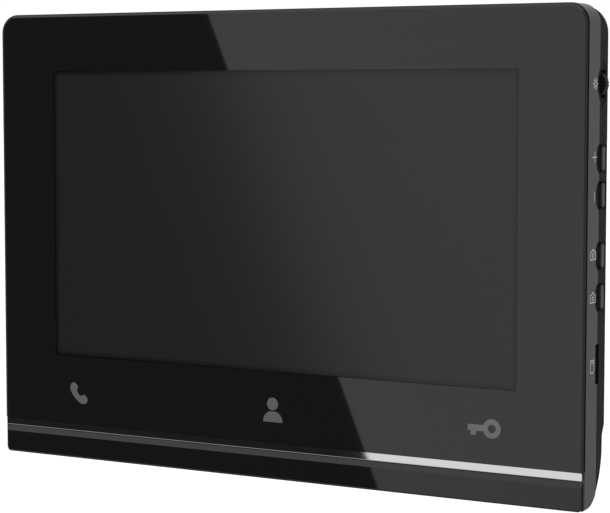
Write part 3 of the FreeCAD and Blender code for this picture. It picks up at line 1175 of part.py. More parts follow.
def check_document():
    """Stop if any object failed to recompute or any node's shape is not a valid solid."""
    for thing in doc.Objects:
        if "Invalid" in thing.State or "Error" in thing.State:
            raise RuntimeError("%s failed: %s" % (thing.Name, thing.State))
    for thing in nodes:
        shape = thing.Shape
        if shape.isNull() or not shape.isValid() or not shape.Solids:
            raise RuntimeError("%s has no valid solid" % thing.Label)


def write_nodes():
    os.makedirs("parts", exist_ok=True)
    for thing in nodes:
        thing.Shape.exportStep("parts/%s.step" % thing.Label)
        box = thing.Shape.BoundBox
        print("%-20s %2d solids %10.1f mm3  X %7.2f %7.2f  Y %7.2f %7.2f  Z %7.2f %7.2f" % (
            thing.Label, len(thing.Shape.Solids), thing.Shape.Volume, box.XMin, box.XMax, box.YMin,
            box.YMax,
            box.ZMin, box.ZMax))


build()
check_document()
write_nodes()
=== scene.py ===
import logging
import math
from dataclasses import dataclass
from enum import Enum
from typing import Dict, List, Optional, Sequence, Tuple, Union

import bmesh
import bpy
from mathutils import Matrix, Vector


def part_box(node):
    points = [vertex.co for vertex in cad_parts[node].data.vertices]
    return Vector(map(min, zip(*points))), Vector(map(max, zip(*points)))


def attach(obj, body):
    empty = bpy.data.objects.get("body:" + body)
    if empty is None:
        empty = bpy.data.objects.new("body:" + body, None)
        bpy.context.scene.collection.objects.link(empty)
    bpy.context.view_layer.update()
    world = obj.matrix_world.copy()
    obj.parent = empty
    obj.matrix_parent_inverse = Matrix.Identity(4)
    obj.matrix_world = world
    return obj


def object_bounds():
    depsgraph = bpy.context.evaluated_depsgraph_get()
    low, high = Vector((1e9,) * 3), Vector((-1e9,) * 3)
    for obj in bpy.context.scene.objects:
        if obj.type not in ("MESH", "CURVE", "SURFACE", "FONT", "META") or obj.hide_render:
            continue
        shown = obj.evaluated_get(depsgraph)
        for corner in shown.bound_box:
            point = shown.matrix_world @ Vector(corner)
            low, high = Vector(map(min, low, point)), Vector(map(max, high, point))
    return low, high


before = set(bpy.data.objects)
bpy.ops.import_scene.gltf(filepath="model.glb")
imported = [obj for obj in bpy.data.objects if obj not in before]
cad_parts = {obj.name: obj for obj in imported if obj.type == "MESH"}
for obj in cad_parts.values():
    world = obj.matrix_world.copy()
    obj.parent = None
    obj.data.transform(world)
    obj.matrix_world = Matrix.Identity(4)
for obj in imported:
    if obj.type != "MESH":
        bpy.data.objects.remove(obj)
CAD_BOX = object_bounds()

MM = 0.001
HOUSING = "housing"
LOG = logging.getLogger("intercom")

Colour = Tuple[float, float, float]
Point = Tuple[float, float]
Feed = Union["Value", float, int, Sequence[float], None]


class Axis(Enum):
    """The way that a grain or a brushing runs."""

    ACROSS = (1.0, 0.0, 0.0)
    DEEP = (0.0, 1.0, 0.0)
    UP = (0.0, 0.0, 1.0)


class Value:
    """One output of a shader graph, which takes part in ordinary sums."""

    def __init__(self, graph: "Graph", socket: bpy.types.NodeSocket) -> None:
        """Keeps the socket and the graph that it belongs to."""
        self.graph = graph
        self.socket = socket

    def __add__(self, other: Feed) -> "Value":
        """This plus the other."""
        return self.graph.sum("ADD", self, other)

    def __sub__(self, other: Feed) -> "Value":
        """This less the other."""
        return self.graph.sum("SUBTRACT", self, other)

    def __rsub__(self, other: Feed) -> "Value":
        """The other less this."""
        return self.graph.sum("SUBTRACT", other, self)

    def __mul__(self, other: Feed) -> "Value":
        """This times the other."""
        return self.graph.sum("MULTIPLY", self, other)

    def __lt__(self, other: Feed) -> "Value":
        """One where this is under the other, and zero elsewhere."""
        return self.graph.sum("LESS_THAN", self, other)

    def __abs__(self) -> "Value":
        """This without its sign."""
        return self.graph.sum("ABSOLUTE", self)

    __radd__ = __add__
    __rmul__ = __mul__

    def wrapped(self, period: float) -> "Value":
        """The remainder of this after whole periods.

        Args:
            period: the length of one repeat.

        Returns:
            A value from zero to the period.
        """
        return self.graph.sum("FLOORED_MODULO", self, period)


class Graph:
    """A material's shader graph, built from an empty one."""

    def __init__(self, name: str) -> None:
        """Starts a material of that name with only its output.

        Args:
            name: the material's name.
        """
        self.material = bpy.data.materials.new(name)
        self.material.use_nodes = True
        self.tree = self.material.node_tree
        self.tree.nodes.clear()
        place = self.node("ShaderNodeTexCoord")
        self.place = Value(self, place.outputs["Object"])

    def node(
        self,
        kind: str,
        settings: Optional[Dict[str, object]] = None,
        inputs: Optional[Dict[Union[str, int], Feed]] = None,
    ) -> bpy.types.Node:
        """Adds a node.

        Args:
            kind: the node's type.
            settings: its properties, set first; "stops" fills a ramp.
            inputs: values or links of its sockets, by name or number.

        Returns:
            The new node.
        """
        made = self.tree.nodes.new(kind)
        for key, value in (settings or {}).items():
            if key == "stops":
                self.fill_ramp(made.color_ramp, value)
            else:
                setattr(made, key, value)
        for key, value in (inputs or {}).items():
            if isinstance(value, Value):
                self.tree.links.new(value.socket, made.inputs[key])
            elif value is not None:
                made.inputs[key].default_value = value
        return made

    @staticmethod
    def fill_ramp(ramp: bpy.types.ColorRamp, stops: Sequence[Tuple[float, float]]) -> None:
        """Gives a ramp its grey stops.

        Args:
            ramp: the ramp, which has two stops when it is new.
            stops: places along it and the grey at each, in order.
        """
        while len(ramp.elements) < len(stops):
            ramp.elements.new(1.0)
        for element, (place, grey) in zip(ramp.elements, stops):
            element.position = place
            element.color = (grey, grey, grey, 1.0)

    def sum(self, operation: str, first: Feed, second: Feed = None) -> Value:
        """One Math node.

        Args:
            operation: what the node does.
            first: its first number.
            second: its second number, where it takes one.

        Returns:
            The node's result.
        """
        node = self.node("ShaderNodeMath", {"operation": operation}, {0: first, 1: second})
        return Value(self, node.outputs[0])

    def mix(self, share: Feed, first: Union[Value, Colour], second: Union[Value, Colour]) -> Value:
        """A colour between two colours.

        Args:
            share: how much of the second, from 0 to 1.
            first: the colour at 0.
            second: the colour at 1.

        Returns:
            The mixed colour.
        """
        ends = [c if isinstance(c, Value) else (*c, 1.0) for c in (first, second)]
        node = self.node(
            "ShaderNodeMix",
            {"data_type": "RGBA", "clamp_factor": True},
            {0: share, 6: ends[0], 7: ends[1]},
        )
        return Value(self, node.outputs[2])

    def stretched(self, by: Sequence[float]) -> Value:
        """The place on the object, in metres, times a factor along each axis.

        Args:
            by: the three factors.

        Returns:
            A vector.
        """
        node = self.node("ShaderNodeVectorMath", {"operation": "MULTIPLY"}, {0: self.place, 1: by})
        return Value(self, node.outputs[0])

    def along(self) -> Tuple[Value, Value, Value]:
        """The place on the object, in metres, as three separate numbers."""
        node = self.node("ShaderNodeSeparateXYZ", inputs={0: self.place})
        return tuple(Value(self, node.outputs[i]) for i in range(3))

    def noise(self, size: float, detail: float = 2.0, by: Sequence[float] = (1, 1, 1)) -> Value:
        """Soft noise about 0.5.

        Args:
            size: how large its blots are, in metres.
            detail: how many finer layers it has.
            by: factors along the axes, under 1 where the blots are long.

        Returns:
            The noise.
        """
        node = self.node(
            "ShaderNodeTexNoise",
            inputs={"Vector": self.stretched(by), "Scale": 1.0 / size, "Detail": detail},
        )
        return Value(self, node.outputs[0])

    def cells(self, size: float) -> Tuple[Value, Value]:
        """A pattern of cells.

        Args:
            size: how large a cell is, in metres.

        Returns:
            The distance from the cell's middle, and each cell's own grey.
        """
        node = self.node(
            "ShaderNodeTexVoronoi",
            {"feature": "F1"},
            {"Vector": self.place, "Scale": 1.0 / size},
        )
        return Value(self, node.outputs[0]), Value(self, node.outputs["Color"])

    def ramp(self, value: Value, *stops: Tuple[float, float]) -> Value:
        """A value passed through a grey ramp.

        Args:
            value: what goes in.
            stops: places along the ramp and the grey at each.

        Returns:
            What comes out.
        """
        node = self.node("ShaderNodeValToRGB", {"stops": stops}, {0: value})
        return Value(self, node.outputs[0])

    def bump(self, height: Value, depth: float, strength: float = 1.0) -> Value:
        """A relief on the surface.

        Args:
            height: the relief, from 0 to 1.
            depth: how deep it is, in metres.
            strength: how much of it shows.

        Returns:
            The bent normal.
        """
        node = self.node(
            "ShaderNodeBump", inputs={"Strength": strength, "Distance": depth, "Height": height}
        )
        return Value(self, node.outputs[0])

    def finish(self, **sockets: Feed) -> bpy.types.Material:
        """Ends the graph in a Principled shader.

        Args:
            sockets: the shader's sockets, with _ for a space in the name.

        Returns:
            The material.
        """
        inputs = {}
        for name, value in sockets.items():
            if isinstance(value, tuple):
                value = (*value, 1.0)
            inputs[name.replace("_", " ")] = value
        shader = self.node("ShaderNodeBsdfPrincipled", inputs=inputs)
        out = self.node("ShaderNodeOutputMaterial")
        self.tree.links.new(shader.outputs[0], out.inputs[0])
        return self.material


def shade(colour: Colour, factor: float) -> Colour:
    """A colour made lighter or darker.

    Args:
        colour: the colour.
        factor: what each part of it is multiplied by.

    Returns:
        The new colour.
    """
    return tuple(min(part * factor, 1.0) for part in colour)


@dataclass(frozen=True)
class GlossMoulding:
    """Polished black plastic, with the faint waviness and haze that moulding leaves."""

    name: str
    colour: Colour
    roughness: float
    wave: float = 0.4e-6
    level: float = 0.5

    def material(self) -> bpy.types.Material:
        """The finish as a material."""
        g = Graph(self.name)
        haze = g.noise(0.045, 3.0)
        rub = g.ramp(g.noise(0.0016, 4.0, (0.35, 1.0, 1.0)), (0.55, 0.0), (0.8, 1.0))
        tone = g.mix(g.noise(0.09), shade(self.colour, 0.92), shade(self.colour, 1.08))
        skin = g.noise(0.004, 1.0)
        return g.finish(
            Base_Color=tone,
            Roughness=self.roughness + haze * 0.012 + rub * 0.01,
            Specular_IOR_Level=self.level,
            Normal=g.bump(skin, self.wave),
        )


@dataclass(frozen=True)
class GrainedMoulding:
    """Matte plastic from a mould with a spark-eroded grain."""

    name: str
    colour: Colour
    roughness: float = 0.5
    grain: float = 0.7 * MM
    depth: float = 0.03 * MM
    level: float = 0.3

    def material(self) -> bpy.types.Material:
        """The finish as a material."""
        g = Graph(self.name)
        pits, _ = g.cells(self.grain)
        relief = g.noise(self.grain * 0.8, 3.0) * 0.6 + pits * 0.5
        tops = g.ramp(relief, (0.35, 0.0), (0.75, 1.0))
        drift = g.noise(0.05, 2.0)
        tone = g.mix(tops * 0.6 + drift * 0.4, shade(self.colour, 0.8), shade(self.colour, 1.25))
        return g.finish(
            Base_Color=tone,
            Roughness=self.roughness + (0.5 - tops) * 0.12 + drift * 0.05,
            Specular_IOR_Level=self.level,
            Normal=g.bump(relief, self.depth),
        )


@dataclass(frozen=True)
class WorkedMetal:
    """Bare metal with the fine lines of drawing, rolling or brushing."""

    name: str
    colour: Colour
    roughness: float
    lines: Axis = Axis.ACROSS
    line: float = 0.25 * MM
    contrast: float = 0.1
    metallic: float = 1.0
    depth: float = 0.4e-6

    def material(self) -> bpy.types.Material:
        """The finish as a material."""
        g = Graph(self.name)
        by = [0.02 if part else 1.0 for part in self.lines.value]
        brushed = g.noise(self.line, 2.0, by)
        cloud = g.noise(0.02, 2.0)
        dark = shade(self.colour, 1.0 - self.contrast)
        return g.finish(
            Base_Color=g.mix(brushed * 0.7 + cloud * 0.3, dark, self.colour),
            Roughness=self.roughness * (0.8 + brushed * 0.4),
            Metallic=self.metallic,
            Normal=g.bump(brushed, self.depth),
        )


@dataclass(frozen=True)
class ZincPlate:
    """Zinc-coated sheet steel, with its spangle and faint rolling lines."""

    name: str
    colour: Colour = (0.58, 0.6, 0.62)
    spangle: float = 5.5 * MM
    roughness: float = 0.34

    def material(self) -> bpy.types.Material:
        """The finish as a material."""
        g = Graph(self.name)
        _, crystal = g.cells(self.spangle)
        cell = g.ramp(crystal, (0.1, 0.0), (0.9, 1.0))
        rolled = g.noise(0.4 * MM, 2.0, (1.0, 1.0, 0.03))
        fine = g.noise(0.9 * MM, 3.0)
        tone = g.mix(cell * 0.6 + rolled * 0.4, shade(self.colour, 0.78), self.colour)
        return g.finish(
            Base_Color=tone,
            Roughness=self.roughness + cell * 0.14 + fine * 0.08,
            Metallic=0.9,
            Normal=g.bump(rolled * 0.5 + fine * 0.5, 2e-6),
        )


@dataclass(frozen=True)
class DisplaySurface:
    """The matte front of a screen: a grey field with painted shade that darkens it to near black towards its
    edges, where the window's rim shades it.
    """

    name: str
    half_wide: float
    half_high: float
    middle: float
    colour: Colour = (0.0265, 0.0265, 0.0265)
    # painted shade: the colour the screen is darkened to at its very edge
    painted_edge_shade: Colour = (0.009, 0.009, 0.0092)
    shade_reach: float = 2.5 * MM
    roughness: float = 0.155
    level: float = 0.37

    def material(self) -> bpy.types.Material:
        """The finish as a material."""
        g = Graph(self.name)
        across, _, up = g.along()
        # painted shade: the base colour falls to the painted edge colour over the last few millimetres towards
        # each edge
        from_side = (self.half_wide - abs(across)) * (1.0 / self.shade_reach)
        from_end = (self.half_high - abs(up - self.middle)) * (1.0 / self.shade_reach)
        rise = ((0.0, 0.0), (1.0, 1.0))
        unshaded = g.ramp(from_side, *rise) * g.ramp(from_end, *rise)
        sparkle = g.noise(0.18 * MM, 1.0)
        tone = g.mix(sparkle, shade(self.colour, 0.93), shade(self.colour, 1.07))
        return g.finish(
            Base_Color=g.mix(unshaded, self.painted_edge_shade, tone),
            Roughness=self.roughness + g.noise(0.03) * 0.01,
            Specular_IOR_Level=self.level,
            Normal=g.bump(sparkle, 1.5e-6),
        )


@dataclass(frozen=True)
class SolderMask:
    """Green lacquer over copper tracks, with bare drilled pads between them."""

    name: str
    lacquer: Colour = (0.012, 0.12, 0.045)
    track: Colour = (0.03, 0.22, 0.085)
    pad: Colour = (0.72, 0.62, 0.4)
    pitch: float = 2.54 * MM

    def material(self) -> bpy.types.Material:
        """The finish as a material."""
        g = Graph(self.name)
        across, _, up = g.along()
        route = g.noise(0.011, 0.0)
        lines = (across + up + route * 0.02).wrapped(self.pitch * 0.5) < self.pitch * 0.2
        crossing = (across - up + route * 0.02).wrapped(self.pitch) < self.pitch * 0.14
        zone = g.ramp(g.noise(0.016, 1.0), (0.46, 0.0), (0.5, 1.0))
        copper = lines * zone + crossing * (1.0 - zone)
        middle = self.pitch * 0.5
        off_across = abs(across.wrapped(self.pitch) - middle)
        off_up = abs(up.wrapped(self.pitch) - middle)
        hole = (off_across * off_across + off_up * off_up) < (0.32 * MM) ** 2
        bare = hole * g.ramp(g.noise(0.013, 0.0), (0.58, 0.0), (0.6, 1.0))
        mask = g.mix(copper, self.lacquer, self.track)
        return g.finish(
            Base_Color=g.mix(bare, mask, self.pad),
            Roughness=0.3 + g.noise(0.004) * 0.1,
            Metallic=bare,
            Normal=g.bump(copper + bare, 0.03 * MM),
        )


@dataclass(frozen=True)
class Elastic:
    """Rubber or foam: a dull skin over small closed cells."""

    name: str
    colour: Colour
    cell: float = 0.5 * MM
    depth: float = 0.04 * MM
    roughness: float = 0.78

    def material(self) -> bpy.types.Material:
        """The finish as a material."""
        g = Graph(self.name)
        cell, _ = g.cells(self.cell)
        dust = g.noise(0.006, 4.0)
        tone = g.mix(dust * 0.6 + cell * 0.3, shade(self.colour, 0.75), shade(self.colour, 1.5))
        return g.finish(
            Base_Color=tone,
            Roughness=self.roughness + dust * 0.15,
            Specular_IOR_Level=0.25,
            Normal=g.bump(cell + dust * 0.5, self.depth),
        )


@dataclass(frozen=True)
class WovenCloth:
    """Plain-weave cloth, seen square on across and up."""

    name: str
    colour: Colour
    thread: float = 0.45 * MM
    roughness: float = 0.85

    def material(self) -> bpy.types.Material:
        """The finish as a material."""
        g = Graph(self.name)
        across, _, up = g.along()
        half = self.thread * 0.5
        warp = abs(across.wrapped(self.thread) - half) * (1.0 / half)
        weft = abs(up.wrapped(self.thread) - half) * (1.0 / half)
        gap = warp * weft
        weave = 1.0 - gap
        fuzz = g.noise(0.002, 3.0)
        tone = g.mix(weave * 0.8 + fuzz * 0.2, shade(self.colour, 0.4), shade(self.colour, 1.5))
        return g.finish(
            Base_Color=tone,
            Roughness=self.roughness,
            Specular_IOR_Level=0.2,
            Normal=g.bump(weave, 0.06 * MM),
        )


@dataclass(frozen=True)
class Striped:
    """A flat cable or a wound sleeve: even lines of one colour on another."""

    name: str
    ground: Colour
    line: Colour
    pitch: float = 1.0 * MM
    share: float = 0.6
    lines: Axis = Axis.ACROSS
    roughness: float = 0.4

    def material(self) -> bpy.types.Material:
        """The finish as a material."""
        g = Graph(self.name)
        place = g.along()[list(Axis).index(self.lines)]
        stripe = place.wrapped(self.pitch) < self.pitch * self.share
        worn = g.noise(0.003, 3.0)
        tone = g.mix(stripe * 0.85 + worn * 0.15, self.ground, self.line)
        return g.finish(
            Base_Color=tone,
            Roughness=self.roughness + worn * 0.1,
            Normal=g.bump(stripe, 0.02 * MM),
        )


@dataclass(frozen=True)
class Ink:
    """Screen-printed ink, with its slightly uneven edge of dots, under a clear gloss."""

    name: str
    colour: Colour
    roughness: float = 0.06
    level: float = 0.5

    def material(self) -> bpy.types.Material:
        """The finish as a material."""
        g = Graph(self.name)
        screen = g.noise(0.3 * MM, 2.0)
        tone = g.mix(screen, shade(self.colour, 0.9), shade(self.colour, 1.1))
        return g.finish(
            Base_Color=tone,
            Roughness=self.roughness + screen * 0.03,
            Specular_IOR_Level=self.level,
            Normal=g.bump(screen, 0.3e-6),
        )


def dress(finish: object, *nodes: str) -> None:
    """Gives CAD nodes a finish.

    Args:
        finish: what to give them.
        nodes: their names.
    """
    material = finish.material()
    for name in nodes:
        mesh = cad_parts[name].data
        mesh.materials.clear()
        mesh.materials.append(material)
        LOG.info("%s: %s", name, finish.name)


@dataclass(frozen=True)
class Loop:
    """A closed line of a printed symbol, in millimetres from the symbol's middle."""

    points: Sequence[Point]
    smooth: bool = False


def ring(radius: float, at: Point = (0.0, 0.0)) -> Loop:
    """A round loop.

    Args:
        radius: its radius, in millimetres.
        at: its middle.

    Returns:
        The loop.
    """
    steps = 40
    turn = 2.0 * math.pi / steps
    return Loop([(at[0] + radius * math.cos(i * turn), at[1] + radius * math.sin(i * turn))
                 for i in range(steps)])


def bar(wide: float, high: float, at: Point = (0.0, 0.0)) -> Loop:
    """A rectangular loop.

    Args:
        wide: its width, in millimetres.
        high: its height.
        at: its middle.

    Returns:
        The loop.
    """
    half_wide, half_high = wide / 2.0, high / 2.0
    corners = ((-1, -1), (1, -1), (1, 1), (-1, 1))
    return Loop([(at[0] + x * half_wide, at[1] + z * half_high) for x, z in corners])


@dataclass(frozen=True)
class PrintFace:
    """A flat side of the housing that symbols are printed on."""

    origin: Vector
    across: Vector
    up: Vector
    film: float = 0.024 * MM

    def print(self, name: str, loops: Sequence[Loop], at: Point, finish: bpy.types.Material) -> bpy.types.Object:
        """Lays a symbol on the face as a thin closed film.

        Args:
            name: the piece's name.
            loops: its closed lines, where a line inside another is a hole.
            at: the place of its middle on the face, in millimetres.
            finish: its material.

        Returns:
            The piece, which rides on the housing.
        """
        curve = bpy.data.curves.new(name, "CURVE")
        curve.dimensions = "2D"
        curve.fill_mode = "BOTH"
        curve.extrude = self.film / 2.0
        for loop in loops:
            self.add_loop(curve, loop)
        source = bpy.data.objects.new(name + "_line", curve)
        mesh = bpy.data.meshes.new_from_object(source)
        bpy.data.objects.remove(source)
        normal = self.across.cross(self.up)
        middle = self.origin + self.across * at[0] * MM + self.up * at[1] * MM
        middle = middle + normal * self.film / 2.0
        turn = Matrix((self.across, self.up, normal)).transposed().to_4x4()
        mesh.transform(Matrix.Translation(middle) @ turn)
        close_seams(mesh)
        mesh.materials.clear()
        mesh.materials.append(finish)
        piece = bpy.data.objects.new(name, mesh)
        bpy.context.scene.collection.objects.link(piece)
        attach(piece, HOUSING)
        LOG.info("%s: printed", name)
        return piece

    @staticmethod
    def add_loop(curve: bpy.types.Curve, loop: Loop) -> None:
        """Adds a closed line to a curve.

        Args:
            curve: the curve.
            loop: the line, in millimetres.
        """
        spline = curve.splines.new("BEZIER" if loop.smooth else "POLY")
        points = spline.bezier_points if loop.smooth else spline.points
        points.add(len(loop.points) - 1)
        for point, (across, up) in zip(points, loop.points):
            place = (across * MM, up * MM, 0.0)
            if loop.smooth:
                point.co = place
                point.handle_left_type = point.handle_right_type = "AUTO"
            else:
                point.co = (*place, 1.0)
        spline.use_cyclic_u = True


def close_seams(mesh: bpy.types.Mesh) -> None:
    """Joins the corners that lie on each other, so that a film is one closed skin.

    Args:
        mesh: the mesh, which is changed.
    """
    work = bmesh.new()
    work.from_mesh(mesh)
    bmesh.ops.remove_doubles(work, verts=work.verts, dist=0.001 * MM)
    bmesh.ops.recalc_face_normals(work, faces=work.faces)
    work.to_mesh(mesh)
    work.free()


@dataclass
class FrontFace:
    """The glossy panel, the chin below it, the strip between them and the three touch symbols."""

    black: Colour = (0.0135, 0.0135, 0.0138)
    symbol_high: float = -68.9
    handset_across: float = -99.4
    person_across: float = 0.7
    key_across: float = 98.3

    def build(self) -> None:
        """Prints the three symbols."""
        low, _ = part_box("front_panel")
        face = PrintFace(Vector((0.0, low.y, 0.0)), Vector((1, 0, 0)), Vector((0, 0, 1)))
        ink = Ink("symbol_ink", (0.2, 0.2, 0.205)).material()
        symbols = {
            "symbol_answer": (self.handset_loops(), self.handset_across),
            "symbol_guard": (self.person_loops(), self.person_across),
            "symbol_unlock": (self.key_loops(), self.key_across),
        }
        for name, (loops, across) in symbols.items():
            face.print(name, loops, (across, self.symbol_high), ink)

    def dress(self) -> None:
        """Finishes the panel, the chin, the strip and the tape behind them."""
        dress(GlossMoulding("piano_black", self.black, 0.012), "front_panel")
        dress(GlossMoulding("chin_black", self.black, 0.014, level=0.43), "chin_panel")
        dress(WorkedMetal("bright_strip", (0.68, 0.69, 0.7), 0.028, contrast=0.06), "trim_strip")
        dress(Elastic("foam_tape", (0.006, 0.006, 0.006)), "panel_tape")

    @staticmethod
    def handset_loops() -> List[Loop]:
        """A telephone handset, which is the same on both sides of its slanting middle line."""
        half = [(0.0, -3.3), (-2.6, -3.1), (-4.9, -2.0), (-5.7, -0.4), (-5.3, 1.0), (-3.9, 1.55),
                (-2.4, 1.3), (-1.95, 0.35), (-1.5, -0.3)]
        whole = half + [(-across, up) for across, up in reversed(half[1:])]
        slant = math.sqrt(0.5)
        return [Loop([((a + b) * slant, (b - a) * slant) for a, b in whole], smooth=True)]

    @staticmethod
    def person_loops() -> List[Loop]:
        """A round head over half-round shoulders."""
        side = [(4.7, -5.05), (4.55, -3.6), (3.8, -2.1), (2.5, -1.0), (1.7, -0.6)]
        shoulders = side + [(-across, up) for across, up in reversed(side)]
        return [ring(2.7, (-0.1, 2.6)), Loop(shoulders)]

    @staticmethod
    def key_loops() -> List[Loop]:
        """A ring with a shaft to its left that ends in a bit."""
        bow, hole, bow_at, shaft_half = 3.85, 1.72, 3.35, 1.25
        reach = math.asin(shaft_half / bow)
        steps = 36
        sweep = (2.0 * math.pi - 2.0 * reach) / steps
        arc = [(bow_at + bow * math.cos(math.pi + reach + i * sweep),
                0.35 + bow * math.sin(math.pi + reach + i * sweep)) for i in range(steps + 1)]
        arc_top, arc_foot = 0.35 + shaft_half, 0.35 - shaft_half
        bit = [(-7.2, arc_top), (-7.2, -0.75), (-5.9, -0.8), (-5.9, -2.55), (-3.5, -2.55),
               (-3.5, arc_foot)]
        return [Loop(arc + bit), ring(hole, (bow_at, 0.35))]


@dataclass
class Display:
    """The screen module behind the window."""

    def dress(self) -> None:
        """Finishes the screen, its bezel, its tray and what holds it."""
        low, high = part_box("screen_lens")
        half_high = (high.z - low.z) / 2.0
        screen = DisplaySurface("screen_face", high.x, half_high, low.z + half_high)
        dress(screen, "screen_lens", "lcd_display")
        dress(WorkedMetal("stamped_bezel", (0.5, 0.51, 0.52), 0.35), "lcd_bezel", "lcd_clamps")
        dress(GrainedMoulding("tray_plastic", (0.72, 0.72, 0.7), 0.45), "lcd_backlight_tray")
        dress(WorkedMetal("screw_zinc", (0.5, 0.5, 0.48), 0.3, Axis.UP), "lcd_screws")
        flex = Striped("display_flex", (0.55, 0.32, 0.08), (0.75, 0.45, 0.12))
        dress(flex, "lcd_ribbon")


@dataclass
class Shell:
    """The front frame and the rear cover with what fastens and cushions them."""

    def dress(self) -> None:
        """Finishes both mouldings, the screws and the pads."""
        gloss = GlossMoulding("frame_black", (0.021, 0.021, 0.0215), 0.11, 1.2e-6, 0.62)
        dress(gloss, "front_frame")
        dress(GrainedMoulding("cover_black", (0.012, 0.012, 0.0124), 0.52, level=0.1), "rear_cover")
        dress(WorkedMetal("black_screw", (0.16, 0.16, 0.165), 0.32, Axis.UP), "housing_screws")
        dress(Elastic("pad_rubber", (0.03, 0.03, 0.031)), "rear_pads")


@dataclass
class SideControls:
    """The keys and the rocking wheel on the right side, with the symbols beside them."""

    line: float = 0.42
    rows: Tuple[Tuple[str, float, float], ...] = (
        ("symbol_set", 7.3, 66.75), ("symbol_plus", 7.3, 38.7), ("symbol_minus", 7.3, 23.4),
        ("symbol_monitor", 6.7, 1.05), ("symbol_picture", 6.7, -15.4), ("symbol_card", 6.9, -42.1),
    )

    def build(self) -> None:
        """Prints the six symbols on the side of the frame."""
        low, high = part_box("front_panel")
        _, frame_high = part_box("front_frame")
        side = PrintFace(Vector((frame_high.x, low.y, 0.0)), Vector((0, 1, 0)), Vector((0, 0, 1)))
        ink = Ink("side_ink", (0.72, 0.72, 0.73), 0.3).material()
        for name, deep, high in self.rows:
            side.print(name, getattr(self, name)(), (deep, high), ink)

    def dress(self) -> None:
        """Finishes the keys, their plungers, the wheel with its cradle and pin, and their switches."""
        names = ("plus", "minus", "monitor", "picture")
        satin = GrainedMoulding("key_black", (0.034, 0.034, 0.035), 0.22, 0.35 * MM, 0.004 * MM, 0.6)
        dress(satin, *["key_" + name for name in names])
        dress(GrainedMoulding("wheel_black", (0.012, 0.012, 0.0122), 0.48, level=0.2), "jog_wheel")
        stem = GrainedMoulding("plunger_plastic", (0.05, 0.05, 0.052), 0.5)
        dress(stem, *["plunger_" + name for name in names], "jog_cradle")
        dress(WorkedMetal("axle_steel", (0.6, 0.6, 0.6), 0.2, Axis.DEEP), "jog_pin")
        dress(GrainedMoulding("switch_body", (0.035, 0.035, 0.037), 0.45), "key_switches", "jog_switch")

    def symbol_set(self) -> List[Loop]:
        """A small ring with eight rays round it."""
        rays = []
        for i in range(8):
            turn = i * math.pi / 4.0
            rays.append(ring(0.38, (1.95 * math.cos(turn), 1.95 * math.sin(turn))))
        return [ring(1.3), ring(0.8)] + rays

    def symbol_plus(self) -> List[Loop]:
        """A plus sign."""
        thin, reach = self.line / 2.0, 2.2
        arm = [(thin, thin), (reach, thin), (reach, -thin), (thin, -thin)]
        points = []
        for turn in range(4):
            angle = -turn * math.pi / 2.0
            c, s = round(math.cos(angle)), round(math.sin(angle))
            points += [(x * c - z * s, x * s + z * c) for x, z in arm[:3]]
        return [Loop(points)]

    def symbol_minus(self) -> List[Loop]:
        """A minus sign, which runs down the side."""
        return [bar(self.line, 3.8)]

    def symbol_monitor(self) -> List[Loop]:
        """A house with a round opening."""
        outline = [(-2.75, -1.9), (-2.75, 1.1), (0.0, 2.6), (2.75, 1.1), (2.75, -1.9)]
        inner = [(x * 0.8, z * 0.76 - 0.02) for x, z in outline]
        return [Loop(outline), Loop(inner), ring(1.05, (0.0, -0.1)), ring(0.6, (0.0, -0.1))]

    def symbol_picture(self) -> List[Loop]:
        """A camera with its lens."""
        outline = [(-2.75, -2.1), (-2.75, 1.3), (-1.2, 1.3), (-0.8, 2.2), (0.8, 2.2), (1.2, 1.3),
                   (2.75, 1.3), (2.75, -2.1)]
        inner = [(x * 0.82, z * 0.78 - 0.03) for x, z in outline]
        return [Loop(outline), Loop(inner), ring(0.95, (0.0, -0.3)), ring(0.5, (0.0, -0.3))]

    def symbol_card(self) -> List[Loop]:
        """A memory card with a cut corner and its contacts."""
        outline = [(-1.9, -2.6), (1.0, -2.6), (1.9, -1.7), (1.9, 2.6), (-1.9, 2.6)]
        inner = [(x * 0.78, z * 0.85) for x, z in outline]
        contacts = [bar(0.32, 0.8, (x, 1.5)) for x in (-1.05, -0.35, 0.35, 1.05)]
        return [Loop(outline), Loop(inner)] + contacts


@dataclass
class Electronics:
    """The boards and what is soldered to them or plugged into them."""

    def dress(self) -> None:
        """Finishes the boards and their parts."""
        dress(SolderMask("board_green"), "main_board", "key_board", "touch_board")
        dress(GrainedMoulding("chip_epoxy", (0.02, 0.02, 0.021), 0.42, 0.2 * MM, 0.006 * MM),
              "board_chips")
        dress(WorkedMetal("shield_tin", (0.62, 0.63, 0.62), 0.3), "shield_can")
        dress(Striped("can_sleeve", (0.03, 0.035, 0.06), (0.45, 0.46, 0.48), 5.0 * MM, 0.3,
                      Axis.UP), "board_capacitors")
        dress(GrainedMoulding("ferrite", (0.06, 0.06, 0.06), 0.6), "board_inductors")
        dress(GrainedMoulding("holder_nylon", (0.03, 0.03, 0.03), 0.5), "clock_cell_holder")
        dress(WorkedMetal("cell_steel", (0.68, 0.68, 0.66), 0.22), "clock_cell")
        dress(WorkedMetal("board_zinc", (0.5, 0.5, 0.48), 0.3, Axis.UP), "board_screws")
        dress(GrainedMoulding("nylon_white", (0.72, 0.71, 0.66), 0.48), "line_connectors",
              "board_sockets")
        dress(GrainedMoulding("nylon_green", (0.03, 0.26, 0.09), 0.48), "power_connector")
        dress(WorkedMetal("tinned_brass", (0.78, 0.7, 0.5), 0.25, Axis.DEEP), "connector_pins")
        dress(WorkedMetal("socket_steel", (0.62, 0.62, 0.62), 0.25), "card_socket")
        dress(GrainedMoulding("black_film", (0.02, 0.02, 0.02), 0.4), "insulating_sheet")
        dress(Ink("clear_resin", (0.85, 0.85, 0.8), 0.15), "icon_leds")
        dress(GrainedMoulding("light_guide", (0.6, 0.6, 0.58), 0.35), "touch_posts")
        dress(Striped("key_flex", (0.7, 0.7, 0.68), (0.35, 0.35, 0.36), lines=Axis.UP), "key_ribbon")


